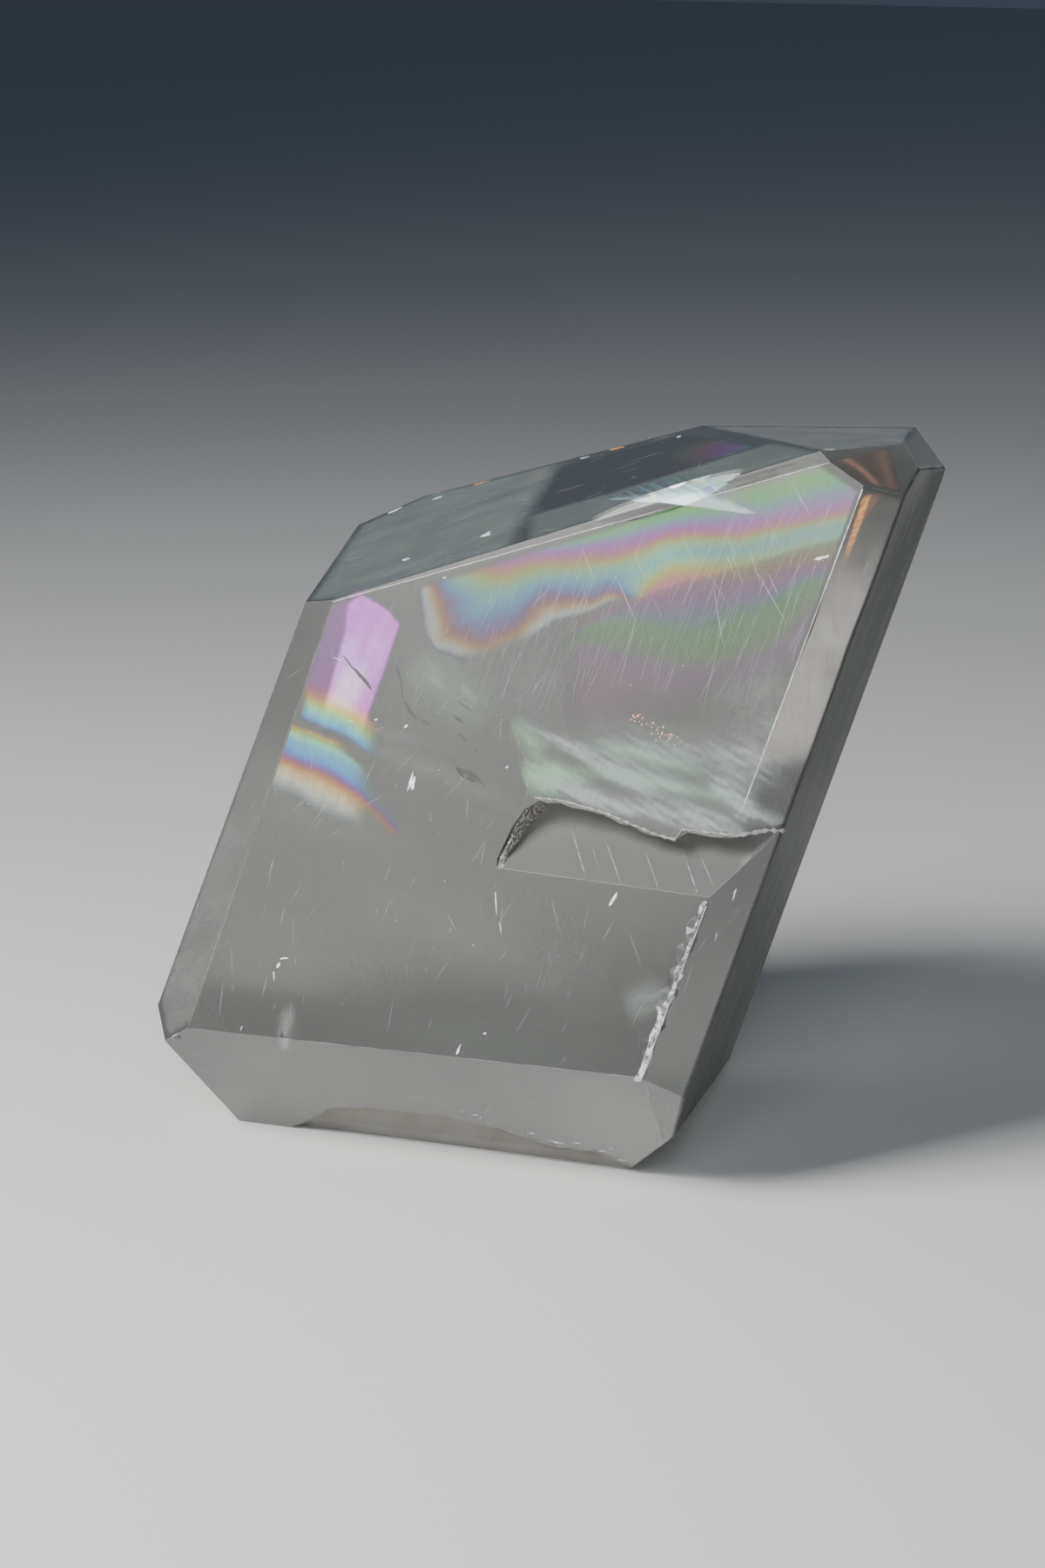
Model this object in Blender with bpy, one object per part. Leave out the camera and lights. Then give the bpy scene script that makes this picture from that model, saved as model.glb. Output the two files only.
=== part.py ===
"""Calcite freeform: one polished block of clear calcite, cut as a leaning cleavage rhomb.

The block stands on a flat base facet, with its broad front face towards -Y and leaning
towards +X. The origin is on the ground, under the middle of the base facet. Each polished
facet is one plane: the way it faces as a heading, how far it tilts up or down as a rise,
and its reach from a reference point inside the stone that is called the heart. The breaks
of the surface are cut out of the polished block afterwards.
"""

import math
import random

import bmesh
import bpy
from mathutils import Matrix, Vector

MM = 0.001

# The point inside the stone that every facet is measured from, in mm.
HEART = Vector((12.8, -6.9, 50.0))

# Half the side of the rough cube that the facets are cut from, in mm.
ROUGH_HALF = 120.0

# The broad faces. Heading is in degrees from -Y towards +X, rise in degrees above the
# horizon, reach in mm. The front and the right side meet at the 105 degrees of calcite.
FRONT_HEADING = 0.0
FRONT_RISE = 15.0
FRONT_REACH = 19.0
BACK_REACH = 44.0
SIDE_HEADING = 101.5
SIDE_RISE = -18.0
SIDE_REACH = 38.5
LEFT_HEADING = -71.0
LEFT_RISE = 20.0
LEFT_REACH = 37.5
TOP_HEADING = -67.0
TOP_RISE = 70.0
TOP_REACH = 34.0

# The bevel under the front face, which the break at the base goes into.
FOOT_HEADING = 1.0
FOOT_RISE = -38.0
FOOT_REACH = 42.0

# The bevel between the front face and the right side.
CORNER_HEADING = 43.0
CORNER_RISE = 0.0
CORNER_REACH = 41.0

FACETS = (
    ("base", 0.0, -90.0, HEART.z),
    ("front", FRONT_HEADING, FRONT_RISE, FRONT_REACH),
    ("back", 180.0, -FRONT_RISE, BACK_REACH),
    ("right side", SIDE_HEADING, SIDE_RISE, SIDE_REACH),
    ("left side", LEFT_HEADING, LEFT_RISE, LEFT_REACH),
    ("top", TOP_HEADING, TOP_RISE, TOP_REACH),
    ("crown", -146.0, 85.0, 48.0),
    ("front foot bevel", FOOT_HEADING, FOOT_RISE, FOOT_REACH),
    ("front right bevel", CORNER_HEADING, CORNER_RISE, CORNER_REACH),
    ("front left bevel", -38.5, 20.5, 32.0),
    ("front top chamfer", -10.0, 38.5, 29.3),
    ("top right corner", 72.5, 61.5, 66.0),
    ("right shoulder", 110.0, 34.0, 71.5),
    ("right undercut", 98.0, -47.0, 50.0),
    ("left undercut", -74.0, -31.0, 60.5),
    ("front right foot corner", 18.5, -37.5, 48.0),
    ("back right bevel", 141.0, -21.0, 50.0),
    ("back left bevel", -127.0, 4.0, 66.5),
    ("back top bevel", -175.0, 44.0, 62.0),
    ("back foot bevel", 180.0, -52.0, 55.5),
)

# The polished edges are softly broken, in mm.
EDGE_ROUNDING = 0.3
EDGE_STEPS = 2

# The ledge in the front face: its floor starts flush along a crease and goes in upwards,
# to a rough wall. Outlines are in mm on the facet, across and up from the heart's foot.
LEDGE_FLOOR_SLOPE = math.tan(math.radians(24.4))
LEDGE_CREASE_ACROSS = 6.3
LEDGE_CREASE_UP = -12.0
LEDGE_CREASE_FALL = -0.028
LEDGE_LIP = (
    (10.8, -2.2),
    (14.0, -2.2),
    (20.4, -3.2),
    (28.0, -5.4),
    (31.1, -5.9),
    (32.0, -4.4),
    (39.6, -4.5),
    (44.2, -3.4),
    (52.0, -2.9),
)
LEDGE_BOTTOM = ((52.0, -16.5), (6.1, -15.0))
LEDGE_LEFT_WALL = ((5.6, -10.8), (7.4, -6.0), (8.9, -3.6))
LEDGE_OVERHANG = 0.35

# A rough break line: the length of its small steps and how far they stray, in mm.
ROUGH_STEP = 1.7
ROUGH_STRAY = 0.28

# The break at the front of the base, on the foot bevel: a small step, then a floor that
# goes in towards the ground.
BREAK_STEP = 0.3
BREAK_FLOOR_SLOPE = 0.07
BREAK_TOP = -18.9
BREAK_LEAN = 0.2
BREAK_LIP = (
    (-31.5, -31.7),
    (-26.0, -28.0),
    (-21.3, -24.1),
    (-15.3, -22.3),
    (-13.0, -19.8),
    (-8.0, -18.9),
    (-3.3, -19.5),
    (-0.3, -22.6),
    (10.8, -26.6),
    (19.0, -27.0),
    (26.0, -32.2),
)
BREAK_BOTTOM = ((24.0, -38.0), (-30.0, -38.0))

# The shell-shaped chip in the top face, running out over its front edge: its middle over
# the heart's foot on that face, how far the scoop's middle is above the face, its half
# sizes, and the turn of its long axis on the face in degrees, all in mm.
SHELL_ACROSS = 14.2
SHELL_UP = 33.5
SHELL_ABOVE = 1.0
SHELL_HALF = Vector((12.0, 6.5, 3.2))
SHELL_TURN = 74.7
SHELL_RIPPLE = 0.03

# The frayed stretch of the edge between the front face and the right bevel, in mm on the
# front face, from under the ledge down to the foot bevel.
FRAY_TOP = (36.6, -13.4)
FRAY_FOOT = (29.5, -38.4)
FRAY_RINGS = 26
FRAY_LEFT = (0.5, 1.7)
FRAY_RIGHT = (0.2, 0.7)
FRAY_DEPTH = (0.25, 0.75)
FRAY_ABOVE = 1.5

# Small chips on corners and edges: where each is from the heart, and its radius, in mm.
CHIPS = (
    ((-41.2, -27.5, -35.0), 1.3),
    ((-49.0, 46.8, 26.6), 1.2),
    ((-38.0, 52.4, 31.2), 0.9),
    ((-30.8, 52.2, 33.6), 1.0),
    ((29.7, -10.9, -41.5), 0.9),
    ((-23.5, -28.7, -31.8), 1.2),
    ((45.9, -2.8, 51.0), 0.9),
)

CALCITE_COLOUR = (0.80, 0.81, 0.80, 1.0)
CALCITE_ROUGHNESS = 0.05
CALCITE_IOR = 1.6
ALPHA_IN_VIEW = 0.35

SEED = 7


def facing(heading: float, rise: float) -> Vector:
    """The outward normal of a facet, from its heading and rise in degrees."""
    turn = math.radians(heading)
    tilt = math.radians(rise)
    return Vector((math.sin(turn) * math.cos(tilt), -math.cos(turn) * math.cos(tilt), math.sin(tilt)))


def face_axes(heading: float, rise: float, reach: float) -> tuple[Vector, Vector, Vector, Vector]:
    """A facet's foot of the heart, its across and up directions, and its normal."""
    normal = facing(heading, rise)
    across = Vector((math.cos(math.radians(heading)), math.sin(math.radians(heading)), 0.0))
    up = normal.cross(across)
    if up.z < 0.0:
        up.negate()
    return HEART + normal * reach, across, up, normal


def cut_facet(mesh: bmesh.types.BMesh, heading: float, rise: float, reach: float) -> None:
    """Takes off all of the block outside one facet's plane and closes it with a flat face."""
    normal = facing(heading, rise)
    everything = mesh.verts[:] + mesh.edges[:] + mesh.faces[:]
    cut = bmesh.ops.bisect_plane(
        mesh,
        geom=everything,
        dist=1e-5,
        plane_co=HEART + normal * reach,
        plane_no=normal,
        clear_outer=True,
    )
    rim = [item for item in cut["geom_cut"] if isinstance(item, bmesh.types.BMEdge)]
    bmesh.ops.edgeloop_fill(mesh, edges=rim)


def add_object(mesh: bmesh.types.BMesh, name: str) -> bpy.types.Object:
    """Turns a mesh in mm into an object in metres, with its faces outward."""
    bmesh.ops.recalc_face_normals(mesh, faces=mesh.faces[:])
    mesh.transform(Matrix.Scale(MM, 4))
    data = bpy.data.meshes.new(name)
    mesh.to_mesh(data)
    mesh.free()
    made = bpy.data.objects.new(name, data)
    bpy.context.scene.collection.objects.link(made)
    return made


def polished_block() -> bpy.types.Object:
    """The whole stone as it left the polishing wheel, with no breaks in it."""
    mesh = bmesh.new()
    bmesh.ops.create_cube(mesh, size=2.0 * ROUGH_HALF, matrix=Matrix.Translation(HEART))
    for _, heading, rise, reach in FACETS:
        cut_facet(mesh, heading, rise, reach)
    bmesh.ops.remove_doubles(mesh, verts=mesh.verts[:], dist=0.02)
    bmesh.ops.bevel(
        mesh,
        geom=mesh.edges[:],
        offset=EDGE_ROUNDING,
        offset_type="OFFSET",
        segments=EDGE_STEPS,
        profile=0.5,
        affect="EDGES",
        clamp_overlap=True,
    )
    return add_object(mesh, "calcite_freeform")


def close_rings(mesh: bmesh.types.BMesh, rings: list) -> None:
    """Joins rings of points one after another with quads and closes both ends."""
    rows = [[mesh.verts.new(point) for point in ring] for ring in rings]
    count = len(rows[0])
    for lower, upper in zip(rows, rows[1:]):
        for i in range(count):
            j = (i + 1) % count
            mesh.faces.new((lower[i], lower[j], upper[j], upper[i]))
    mesh.faces.new(rows[0][::-1])
    mesh.faces.new(rows[-1])
    bmesh.ops.triangulate(mesh, faces=mesh.faces[:])


def recess_cutter(name: str, axes: tuple, outline: list, floor_depth, lean: float) -> bpy.types.Object:
    """A cutter over an outline on a facet, from above the facet down to a sloping floor."""
    foot, across, up, normal = axes
    above = 3.0
    outer = [foot + across * a + up * (b - lean * above) + normal * above for a, b in outline]
    inner = []
    for a, b in outline:
        depth = floor_depth(a, b)
        raised = b + lean * max(depth, 0.0)
        depth = floor_depth(a, raised)
        inner.append(foot + across * a + up * raised - normal * depth)
    mesh = bmesh.new()
    close_rings(mesh, [outer, inner])
    return add_object(mesh, name)


def rough_line(points: tuple, chance: random.Random) -> list:
    """A line of short uneven steps through the given points, which stay where they are."""
    line = [points[0]]
    for start, end in zip(points, points[1:]):
        span = math.dist(start, end)
        steps = max(1, round(span / ROUGH_STEP))
        for i in range(1, steps):
            share = (i + chance.uniform(-0.25, 0.25)) / steps
            stray = chance.uniform(-ROUGH_STRAY, ROUGH_STRAY)
            run = ((end[0] - start[0]) / span, (end[1] - start[1]) / span)
            a = start[0] + (end[0] - start[0]) * share - run[1] * stray
            b = start[1] + (end[1] - start[1]) * share + run[0] * stray
            line.append((a, b))
        line.append(end)
    return line


def ledge_depth(across: float, up: float) -> float:
    """How far in the ledge's floor is, which is nothing along the crease."""
    crease = LEDGE_CREASE_UP + LEDGE_CREASE_FALL * (across - LEDGE_CREASE_ACROSS)
    return LEDGE_FLOOR_SLOPE * (up - crease)


def break_depth(_across: float, up: float) -> float:
    """How far in the break's floor is: deeper towards the ground."""
    return BREAK_STEP + BREAK_FLOOR_SLOPE * (BREAK_TOP - up)


def shell_cutter(chance: random.Random) -> bpy.types.Object:
    """The scoop of the shell-shaped chip: a flattened ball with slightly uneven ripples."""
    foot, across, up, normal = face_axes(TOP_HEADING, TOP_RISE, TOP_REACH)
    turn = math.radians(SHELL_TURN)
    long_axis = across * math.cos(turn) + up * math.sin(turn)
    short_axis = normal.cross(long_axis)
    middle = foot + across * SHELL_ACROSS + up * SHELL_UP + normal * SHELL_ABOVE
    mesh = bmesh.new()
    bmesh.ops.create_icosphere(mesh, subdivisions=3, radius=1.0)
    for vert in mesh.verts:
        spot = vert.co.copy()
        ripple = 1.0 + SHELL_RIPPLE * math.sin(14.0 * math.hypot(spot.x + 0.8, spot.y)) + chance.uniform(-0.01, 0.01)
        vert.co = (
            middle
            + long_axis * (spot.x * SHELL_HALF.x)
            + short_axis * (spot.y * SHELL_HALF.y)
            + normal * (spot.z * SHELL_HALF.z * ripple)
        )
    return add_object(mesh, "shell_cutter")


def fray_cutter(chance: random.Random) -> bpy.types.Object:
    """An uneven strip of small bites along the edge, a chain of five-sided rings."""
    foot, across, up, normal = face_axes(FRONT_HEADING, FRONT_RISE, FRONT_REACH)
    start = foot + across * FRAY_TOP[0] + up * FRAY_TOP[1]
    end = foot + across * FRAY_FOOT[0] + up * FRAY_FOOT[1]
    along = (end - start).normalized()
    out = (normal + facing(CORNER_HEADING, CORNER_RISE)).normalized()
    sideways = along.cross(out).normalized()
    rings = []
    for i in range(FRAY_RINGS):
        share = i / (FRAY_RINGS - 1)
        swell = 0.4 + 0.6 * math.sin(math.pi * (0.05 + 0.9 * share)) ** 0.5
        middle = start.lerp(end, share)
        left = chance.uniform(*FRAY_LEFT) * swell
        right = chance.uniform(*FRAY_RIGHT) * swell
        depth = chance.uniform(*FRAY_DEPTH) * swell
        floor = middle - out * depth + sideways * chance.uniform(-0.3, 0.3)
        rings.append(
            [
                middle + out * FRAY_ABOVE - sideways * (right + FRAY_ABOVE),
                middle + out * FRAY_ABOVE + sideways * (left + FRAY_ABOVE),
                middle + sideways * left - out * 0.45 * left,
                floor,
                middle - sideways * right - out * 0.45 * right,
            ]
        )
    mesh = bmesh.new()
    close_rings(mesh, rings)
    return add_object(mesh, "fray_cutter")


def chip_cutter(middle: tuple, radius: float, chance: random.Random) -> bpy.types.Object:
    """A small uneven ball that takes one chip off a corner or an edge."""
    mesh = bmesh.new()
    bmesh.ops.create_icosphere(mesh, subdivisions=1, radius=radius)
    for vert in mesh.verts:
        vert.co *= chance.uniform(0.75, 1.15)
    mesh.transform(Matrix.Translation(HEART + Vector(middle)))
    return add_object(mesh, "chip_cutter")


def take_away(block: bpy.types.Object, cutter: bpy.types.Object) -> None:
    """Cuts one cutter out of the block, and keeps the cutter as a hidden helper."""
    cutter.hide_render = True
    cutter.display_type = "WIRE"
    boolean = block.modifiers.new(f"Without {cutter.name}", "BOOLEAN")
    boolean.operation = "DIFFERENCE"
    boolean.solver = "EXACT"
    boolean.object = cutter


def calcite() -> bpy.types.Material:
    """Clear calcite, with the see-through look of it in a plain view."""
    material = bpy.data.materials.new("calcite")
    material.use_nodes = True
    shader = material.node_tree.nodes["Principled BSDF"]
    shader.inputs["Base Color"].default_value = CALCITE_COLOUR
    shader.inputs["Roughness"].default_value = CALCITE_ROUGHNESS
    shader.inputs["Metallic"].default_value = 0.0
    shader.inputs["IOR"].default_value = CALCITE_IOR
    shader.inputs["Transmission Weight"].default_value = 1.0
    material.diffuse_color = (*CALCITE_COLOUR[:3], ALPHA_IN_VIEW)
    return material


def main() -> None:
    """Clears the scene, cuts the polished block and takes the breaks out of it."""
    for old in list(bpy.data.objects):
        bpy.data.objects.remove(old, do_unlink=True)
    bpy.context.scene.unit_settings.system = "METRIC"
    chance = random.Random(SEED)
    block = polished_block()
    block.data.materials.append(calcite())
    ledge = rough_line(LEDGE_LIP, chance) + list(LEDGE_BOTTOM) + list(LEDGE_LEFT_WALL)
    front = face_axes(FRONT_HEADING, FRONT_RISE, FRONT_REACH)
    take_away(block, recess_cutter("ledge_cutter", front, ledge, ledge_depth, LEDGE_OVERHANG))
    base_break = rough_line(BREAK_LIP, chance) + list(BREAK_BOTTOM)
    foot = face_axes(FOOT_HEADING, FOOT_RISE, FOOT_REACH)
    take_away(block, recess_cutter("break_cutter", foot, base_break, break_depth, BREAK_LEAN))
    take_away(block, shell_cutter(chance))
    take_away(block, fray_cutter(chance))
    for middle, radius in CHIPS:
        take_away(block, chip_cutter(middle, radius, chance))


main()
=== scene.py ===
"""Looks of a polished calcite freeform: the stone's clear body, the coloured
films on its inner cracks, its veils, scratches, chips and a plain studio."""

import logging
import math
from dataclasses import dataclass
from enum import Enum
from typing import Callable

import bpy
import numpy as np
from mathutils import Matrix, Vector


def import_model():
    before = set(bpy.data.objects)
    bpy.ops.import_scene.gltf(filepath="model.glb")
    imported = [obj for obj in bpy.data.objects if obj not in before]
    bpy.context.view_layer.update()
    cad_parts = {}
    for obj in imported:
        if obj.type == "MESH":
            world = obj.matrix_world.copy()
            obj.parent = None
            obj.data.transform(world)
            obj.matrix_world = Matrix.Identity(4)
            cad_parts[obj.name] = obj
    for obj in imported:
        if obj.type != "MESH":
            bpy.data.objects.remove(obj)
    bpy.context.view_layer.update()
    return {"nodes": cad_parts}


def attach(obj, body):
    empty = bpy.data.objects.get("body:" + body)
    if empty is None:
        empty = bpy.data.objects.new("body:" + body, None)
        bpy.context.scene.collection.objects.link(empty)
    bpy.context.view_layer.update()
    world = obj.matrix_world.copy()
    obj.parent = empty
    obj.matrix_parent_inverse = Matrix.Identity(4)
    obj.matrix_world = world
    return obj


LOG = logging.getLogger("calcite_freeform")
STONE = "calcite_freeform"
BODY = "root"

# Lengths are in mm and angles in degrees, unless a comment says otherwise.
MM = 0.001
# The point inside the stone that the reach of every facet is measured from.
HEART = np.array([12.8, -6.9, 50.0])
# How strongly calcite bends light.
IOR = 1.6
# Heading and rise of the camera as seen from the stone.
VIEW_HEADING = 24.0
VIEW_RISE = 13.0
SEED = 11
BLACK = (0.0, 0.0, 0.0, 1.0)
# What a film shows where its colours fade.
FILM_GREY = (0.55, 0.56, 0.56, 1.0)
# Waves of red, green and blue light, in thousandths of a mm.
WAVES = (0.650, 0.530, 0.450)
# Greatest thickness of a thin lens, and of the three coloured films.
LENS_SWELL = 0.05
FILM_SWELL = 0.06
# How deep the fine hairs and the threads of the right bevel lie.
HAIR_DEPTH = 0.25
THREAD_DEPTH = 0.5
# How far flecks and the cracks of the ledge's floor stand over the stone.
FLECK_LIFT = 0.012


def direction(heading: float, rise: float) -> np.ndarray:
    """Unit vector from a heading (0 is -Y, growing towards +X) and a rise.

    Args:
        heading: turn from the front, in degrees.
        rise: angle above the horizon, in degrees.

    Returns:
        The vector as an array of three numbers.
    """
    turn, lift = math.radians(heading), math.radians(rise)
    return np.array([math.sin(turn) * math.cos(lift), -math.cos(turn) * math.cos(lift), math.sin(lift)])


class Facet(Enum):
    """The stone's polished planes: heading and rise in degrees, and reach in mm from the heart."""

    BASE = (0.0, -90.0, 50.0)
    FRONT = (0.0, 15.0, 19.0)
    BACK = (180.0, -15.0, 44.0)
    RIGHT = (101.5, -18.0, 38.5)
    LEFT = (-71.0, 20.0, 37.5)
    TOP = (-67.0, 70.0, 34.0)
    CROWN = (-146.0, 85.0, 48.0)
    FRONT_FOOT = (1.0, -38.0, 42.0)
    FRONT_RIGHT = (43.0, 0.0, 41.0)
    FRONT_LEFT = (-38.5, 20.5, 32.0)
    FRONT_TOP = (-10.0, 38.5, 29.3)
    TOP_CORNER = (72.5, 61.5, 66.0)
    SHOULDER = (110.0, 34.0, 71.5)
    RIGHT_UNDERCUT = (98.0, -47.0, 50.0)
    LEFT_UNDERCUT = (-74.0, -31.0, 60.5)
    FOOT_CORNER = (18.5, -37.5, 48.0)
    BACK_RIGHT = (141.0, -21.0, 50.0)
    BACK_LEFT = (-127.0, 4.0, 66.5)
    BACK_TOP = (-175.0, 44.0, 62.0)
    BACK_FOOT = (180.0, -52.0, 55.5)

    @property
    def normal(self) -> np.ndarray:
        """The plane's outward unit vector."""
        return direction(self.value[0], self.value[1])

    @property
    def reach(self) -> float:
        """The plane's distance from the heart, in mm."""
        return self.value[2]

    def axes(self) -> tuple[np.ndarray, np.ndarray, np.ndarray]:
        """The foot of the heart on the plane, and the level and the rising unit vectors in it.

        Returns:
            Foot in mm, across and up.
        """
        turn = math.radians(self.value[0])
        across = np.array([math.cos(turn), math.sin(turn), 0.0])
        return HEART + self.normal * self.reach, across, np.cross(self.normal, across)

    def on(self, across: np.ndarray, up: np.ndarray, lift: np.ndarray | float = 0.0) -> np.ndarray:
        """Points of the plane: foot + across * its vector + up * its vector + lift * normal.

        Args:
            across: level distances in mm.
            up: distances up the plane in mm.
            lift: heights above the plane in mm.

        Returns:
            Points in mm, one more axis than the input.
        """
        foot, level, rising = self.axes()
        across, up, lift = (
            np.asarray(part, float)[..., None] for part in np.broadcast_arrays(across, up, lift)
        )
        return foot + across * level + up * rising + lift * self.normal

    def field(self, count: int, margin: float, above: float | None = None) -> tuple[np.ndarray, np.ndarray]:
        """A grid that fills the facet: each point lies at a share of the way from its middle to its edge.

        Args:
            count: points along each side of the grid.
            margin: distance that the last points keep from the edge, in mm.
            above: if given, only the part of the facet above this distance up it.

        Returns:
            Across and up of each point, and its share of the way.
        """
        foot, level, rising = self.axes()
        here = list(Facet).index(self)
        ends = stone_edges()[:, :2].reshape(-1, 3)
        corners = np.unique(np.round(ends[np.abs(outside(ends)[:, here]) < 1e-6], 3), axis=0)
        middle = corners.mean(axis=0)
        if above is not None:
            middle = 0.4 * middle + 0.6 * corners[(corners - foot) @ rising > above].mean(axis=0)
        first, second = lattice((-1.0, 1.0, count), (-1.0, 1.0, count))
        share, turn = np.maximum(np.abs(first), np.abs(second)), np.arctan2(second, first)
        ray = np.cos(turn)[..., None] * level + np.sin(turn)[..., None] * rising
        slope = np.delete(ray @ NORMALS.T, here, axis=-1)
        free = -np.delete(outside(middle), here)
        if above is not None:
            slope = np.concatenate([slope, -ray @ rising[:, None]], axis=-1)
            free = np.append(free, (middle - foot) @ rising - above)
        room = np.where(slope > 1e-6, free / np.maximum(slope, 1e-6), np.inf).min(axis=-1)
        spot = middle + ray * (share * (room - margin))[..., None]
        return np.stack([(spot - foot) @ level, (spot - foot) @ rising], -1), share

    def within(self, across: np.ndarray, up: np.ndarray, depth: np.ndarray | float) -> np.ndarray:
        """Points under the plane that are seen at a spot on it from the front view.

        The ray bends by Snell's law: tangent part of the view over the index, and the
        point lies on the bent ray where it is depth under the plane.

        Args:
            across: level distances of the spot in mm.
            up: distances of the spot up the plane in mm.
            depth: how far under the plane each point lies, in mm.

        Returns:
            Points in mm.
        """
        view = direction(VIEW_HEADING, VIEW_RISE)
        slip = (view - self.normal * (view @ self.normal)) / IOR
        bent = -slip - self.normal * math.sqrt(1.0 - slip @ slip)
        bent = bent / -(bent @ self.normal)
        return self.on(across, up) + np.asarray(depth, float)[..., None] * bent


NORMALS = np.array([facet.normal for facet in Facet])
REACHES = np.array([facet.reach for facet in Facet])


def outside(points: np.ndarray) -> np.ndarray:
    """Height of each point above each of the stone's planes: (point - heart) . normal - reach.

    Args:
        points: points in mm.

    Returns:
        Heights in mm, one column for each plane.
    """
    return (points - HEART) @ NORMALS.T - REACHES


def drape(points: np.ndarray, depth: float) -> np.ndarray:
    """Moves points straight away from the front view until each lies at least a depth inside the stone.

    Args:
        points: points in mm.
        depth: least depth under every plane that faces the view, in mm.

    Returns:
        The moved points in mm.
    """
    view = direction(VIEW_HEADING, VIEW_RISE)
    facing = NORMALS @ view
    seen = facing > 0.08
    shift = ((outside(points)[..., seen] + depth) / facing[seen]).max(axis=-1)
    return points - np.clip(shift, 0.0, None)[..., None] * view


def stone_edges() -> np.ndarray:
    """The edges of the stone: each pair of planes meets in a line, cut where it leaves another plane.

    Returns:
        Start and end of each edge in mm, then the mean normal of its planes.
    """
    found = []
    for first in range(len(NORMALS)):
        for second in range(first + 1, len(NORMALS)):
            along = np.cross(NORMALS[first], NORMALS[second])
            rows = np.array([NORMALS[first], NORMALS[second], along])
            start = HEART + np.linalg.solve(rows, [REACHES[first], REACHES[second], 0.0])
            slope, height = NORMALS @ along, outside(start)
            others = np.delete(np.arange(len(NORMALS)), [first, second])
            if (height[others][np.abs(slope[others]) < 1e-9] > 1e-6).any():
                continue
            low = max((-height[i] / slope[i] for i in others if slope[i] < -1e-9), default=0.0)
            high = min((-height[i] / slope[i] for i in others if slope[i] > 1e-9), default=0.0)
            if (high - low) * np.linalg.norm(along) > 1.0:
                middle = NORMALS[first] + NORMALS[second]
                found.append((start + low * along, start + high * along, middle / np.linalg.norm(middle)))
    return np.array(found)


def in_notch(points: np.ndarray) -> np.ndarray:
    """Whether each point lies in the notch that the ledge leaves in the front face and its right bevel.

    It does where it is over the ledge's floor: depth < (up - crease) * tan(slope), plus a margin.

    Args:
        points: points in mm.

    Returns:
        Whether each point lies there.
    """
    foot, level, rising = Facet.FRONT.axes()
    across, up, depth = (
        (points - foot) @ level, (points - foot) @ rising, (foot - points) @ Facet.FRONT.normal,
    )
    floor = (up + 12.0 + 0.028 * (across - 6.3)) * math.tan(math.radians(24.4))
    return (across > 5.0) & (up > -13.6) & (up < -1.6) & (depth < np.clip(floor, 0.0, None) + 0.5)


def smooth(low: float, high: float, value: np.ndarray) -> np.ndarray:
    """Smooth step: 3 x^2 - 2 x^3 of the clipped share x of the way from low to high.

    Args:
        low: where the step starts.
        high: where it ends.
        value: what is stepped.

    Returns:
        Numbers from 0 to 1.
    """
    share = np.clip((value - low) / (high - low), 0.0, 1.0)
    return share * share * (3.0 - 2.0 * share)


def lattice(
    first: tuple[float, float, int], second: tuple[float, float, int]
) -> tuple[np.ndarray, np.ndarray]:
    """Even numbers along the rows and along the columns of a grid.

    Args:
        first: start, end and count along the rows.
        second: start, end and count along the columns.

    Returns:
        The two arrays.
    """
    rows, columns = np.meshgrid(np.linspace(*first), np.linspace(*second), indexing="ij")
    return rows, columns


def turned(marks: dict[str, np.ndarray]) -> dict[str, np.ndarray]:
    """The marks of a grid whose columns run the other way."""
    return {label: values[:, ::-1] for label, values in marks.items()}


def ripple(first: np.ndarray, second: np.ndarray, size: float, seed: int) -> np.ndarray:
    """Soft cloudy field: the mean of eight sine waves of seeded headings and phases.

    Args:
        first: one coordinate in mm.
        second: the other coordinate in mm.
        size: typical length of a wave in mm.
        seed: picks the waves.

    Returns:
        Numbers of about -1 to 1.
    """
    draw = np.random.default_rng(seed)
    turn = draw.uniform(0.0, math.tau, 8)
    wave = math.tau / (size * draw.uniform(0.6, 1.7, 8))
    phase = draw.uniform(0.0, math.tau, 8)
    along = first[..., None] * np.cos(turn) + second[..., None] * np.sin(turn)
    return np.sin(along * wave + phase).mean(axis=-1) * 1.6


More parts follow.
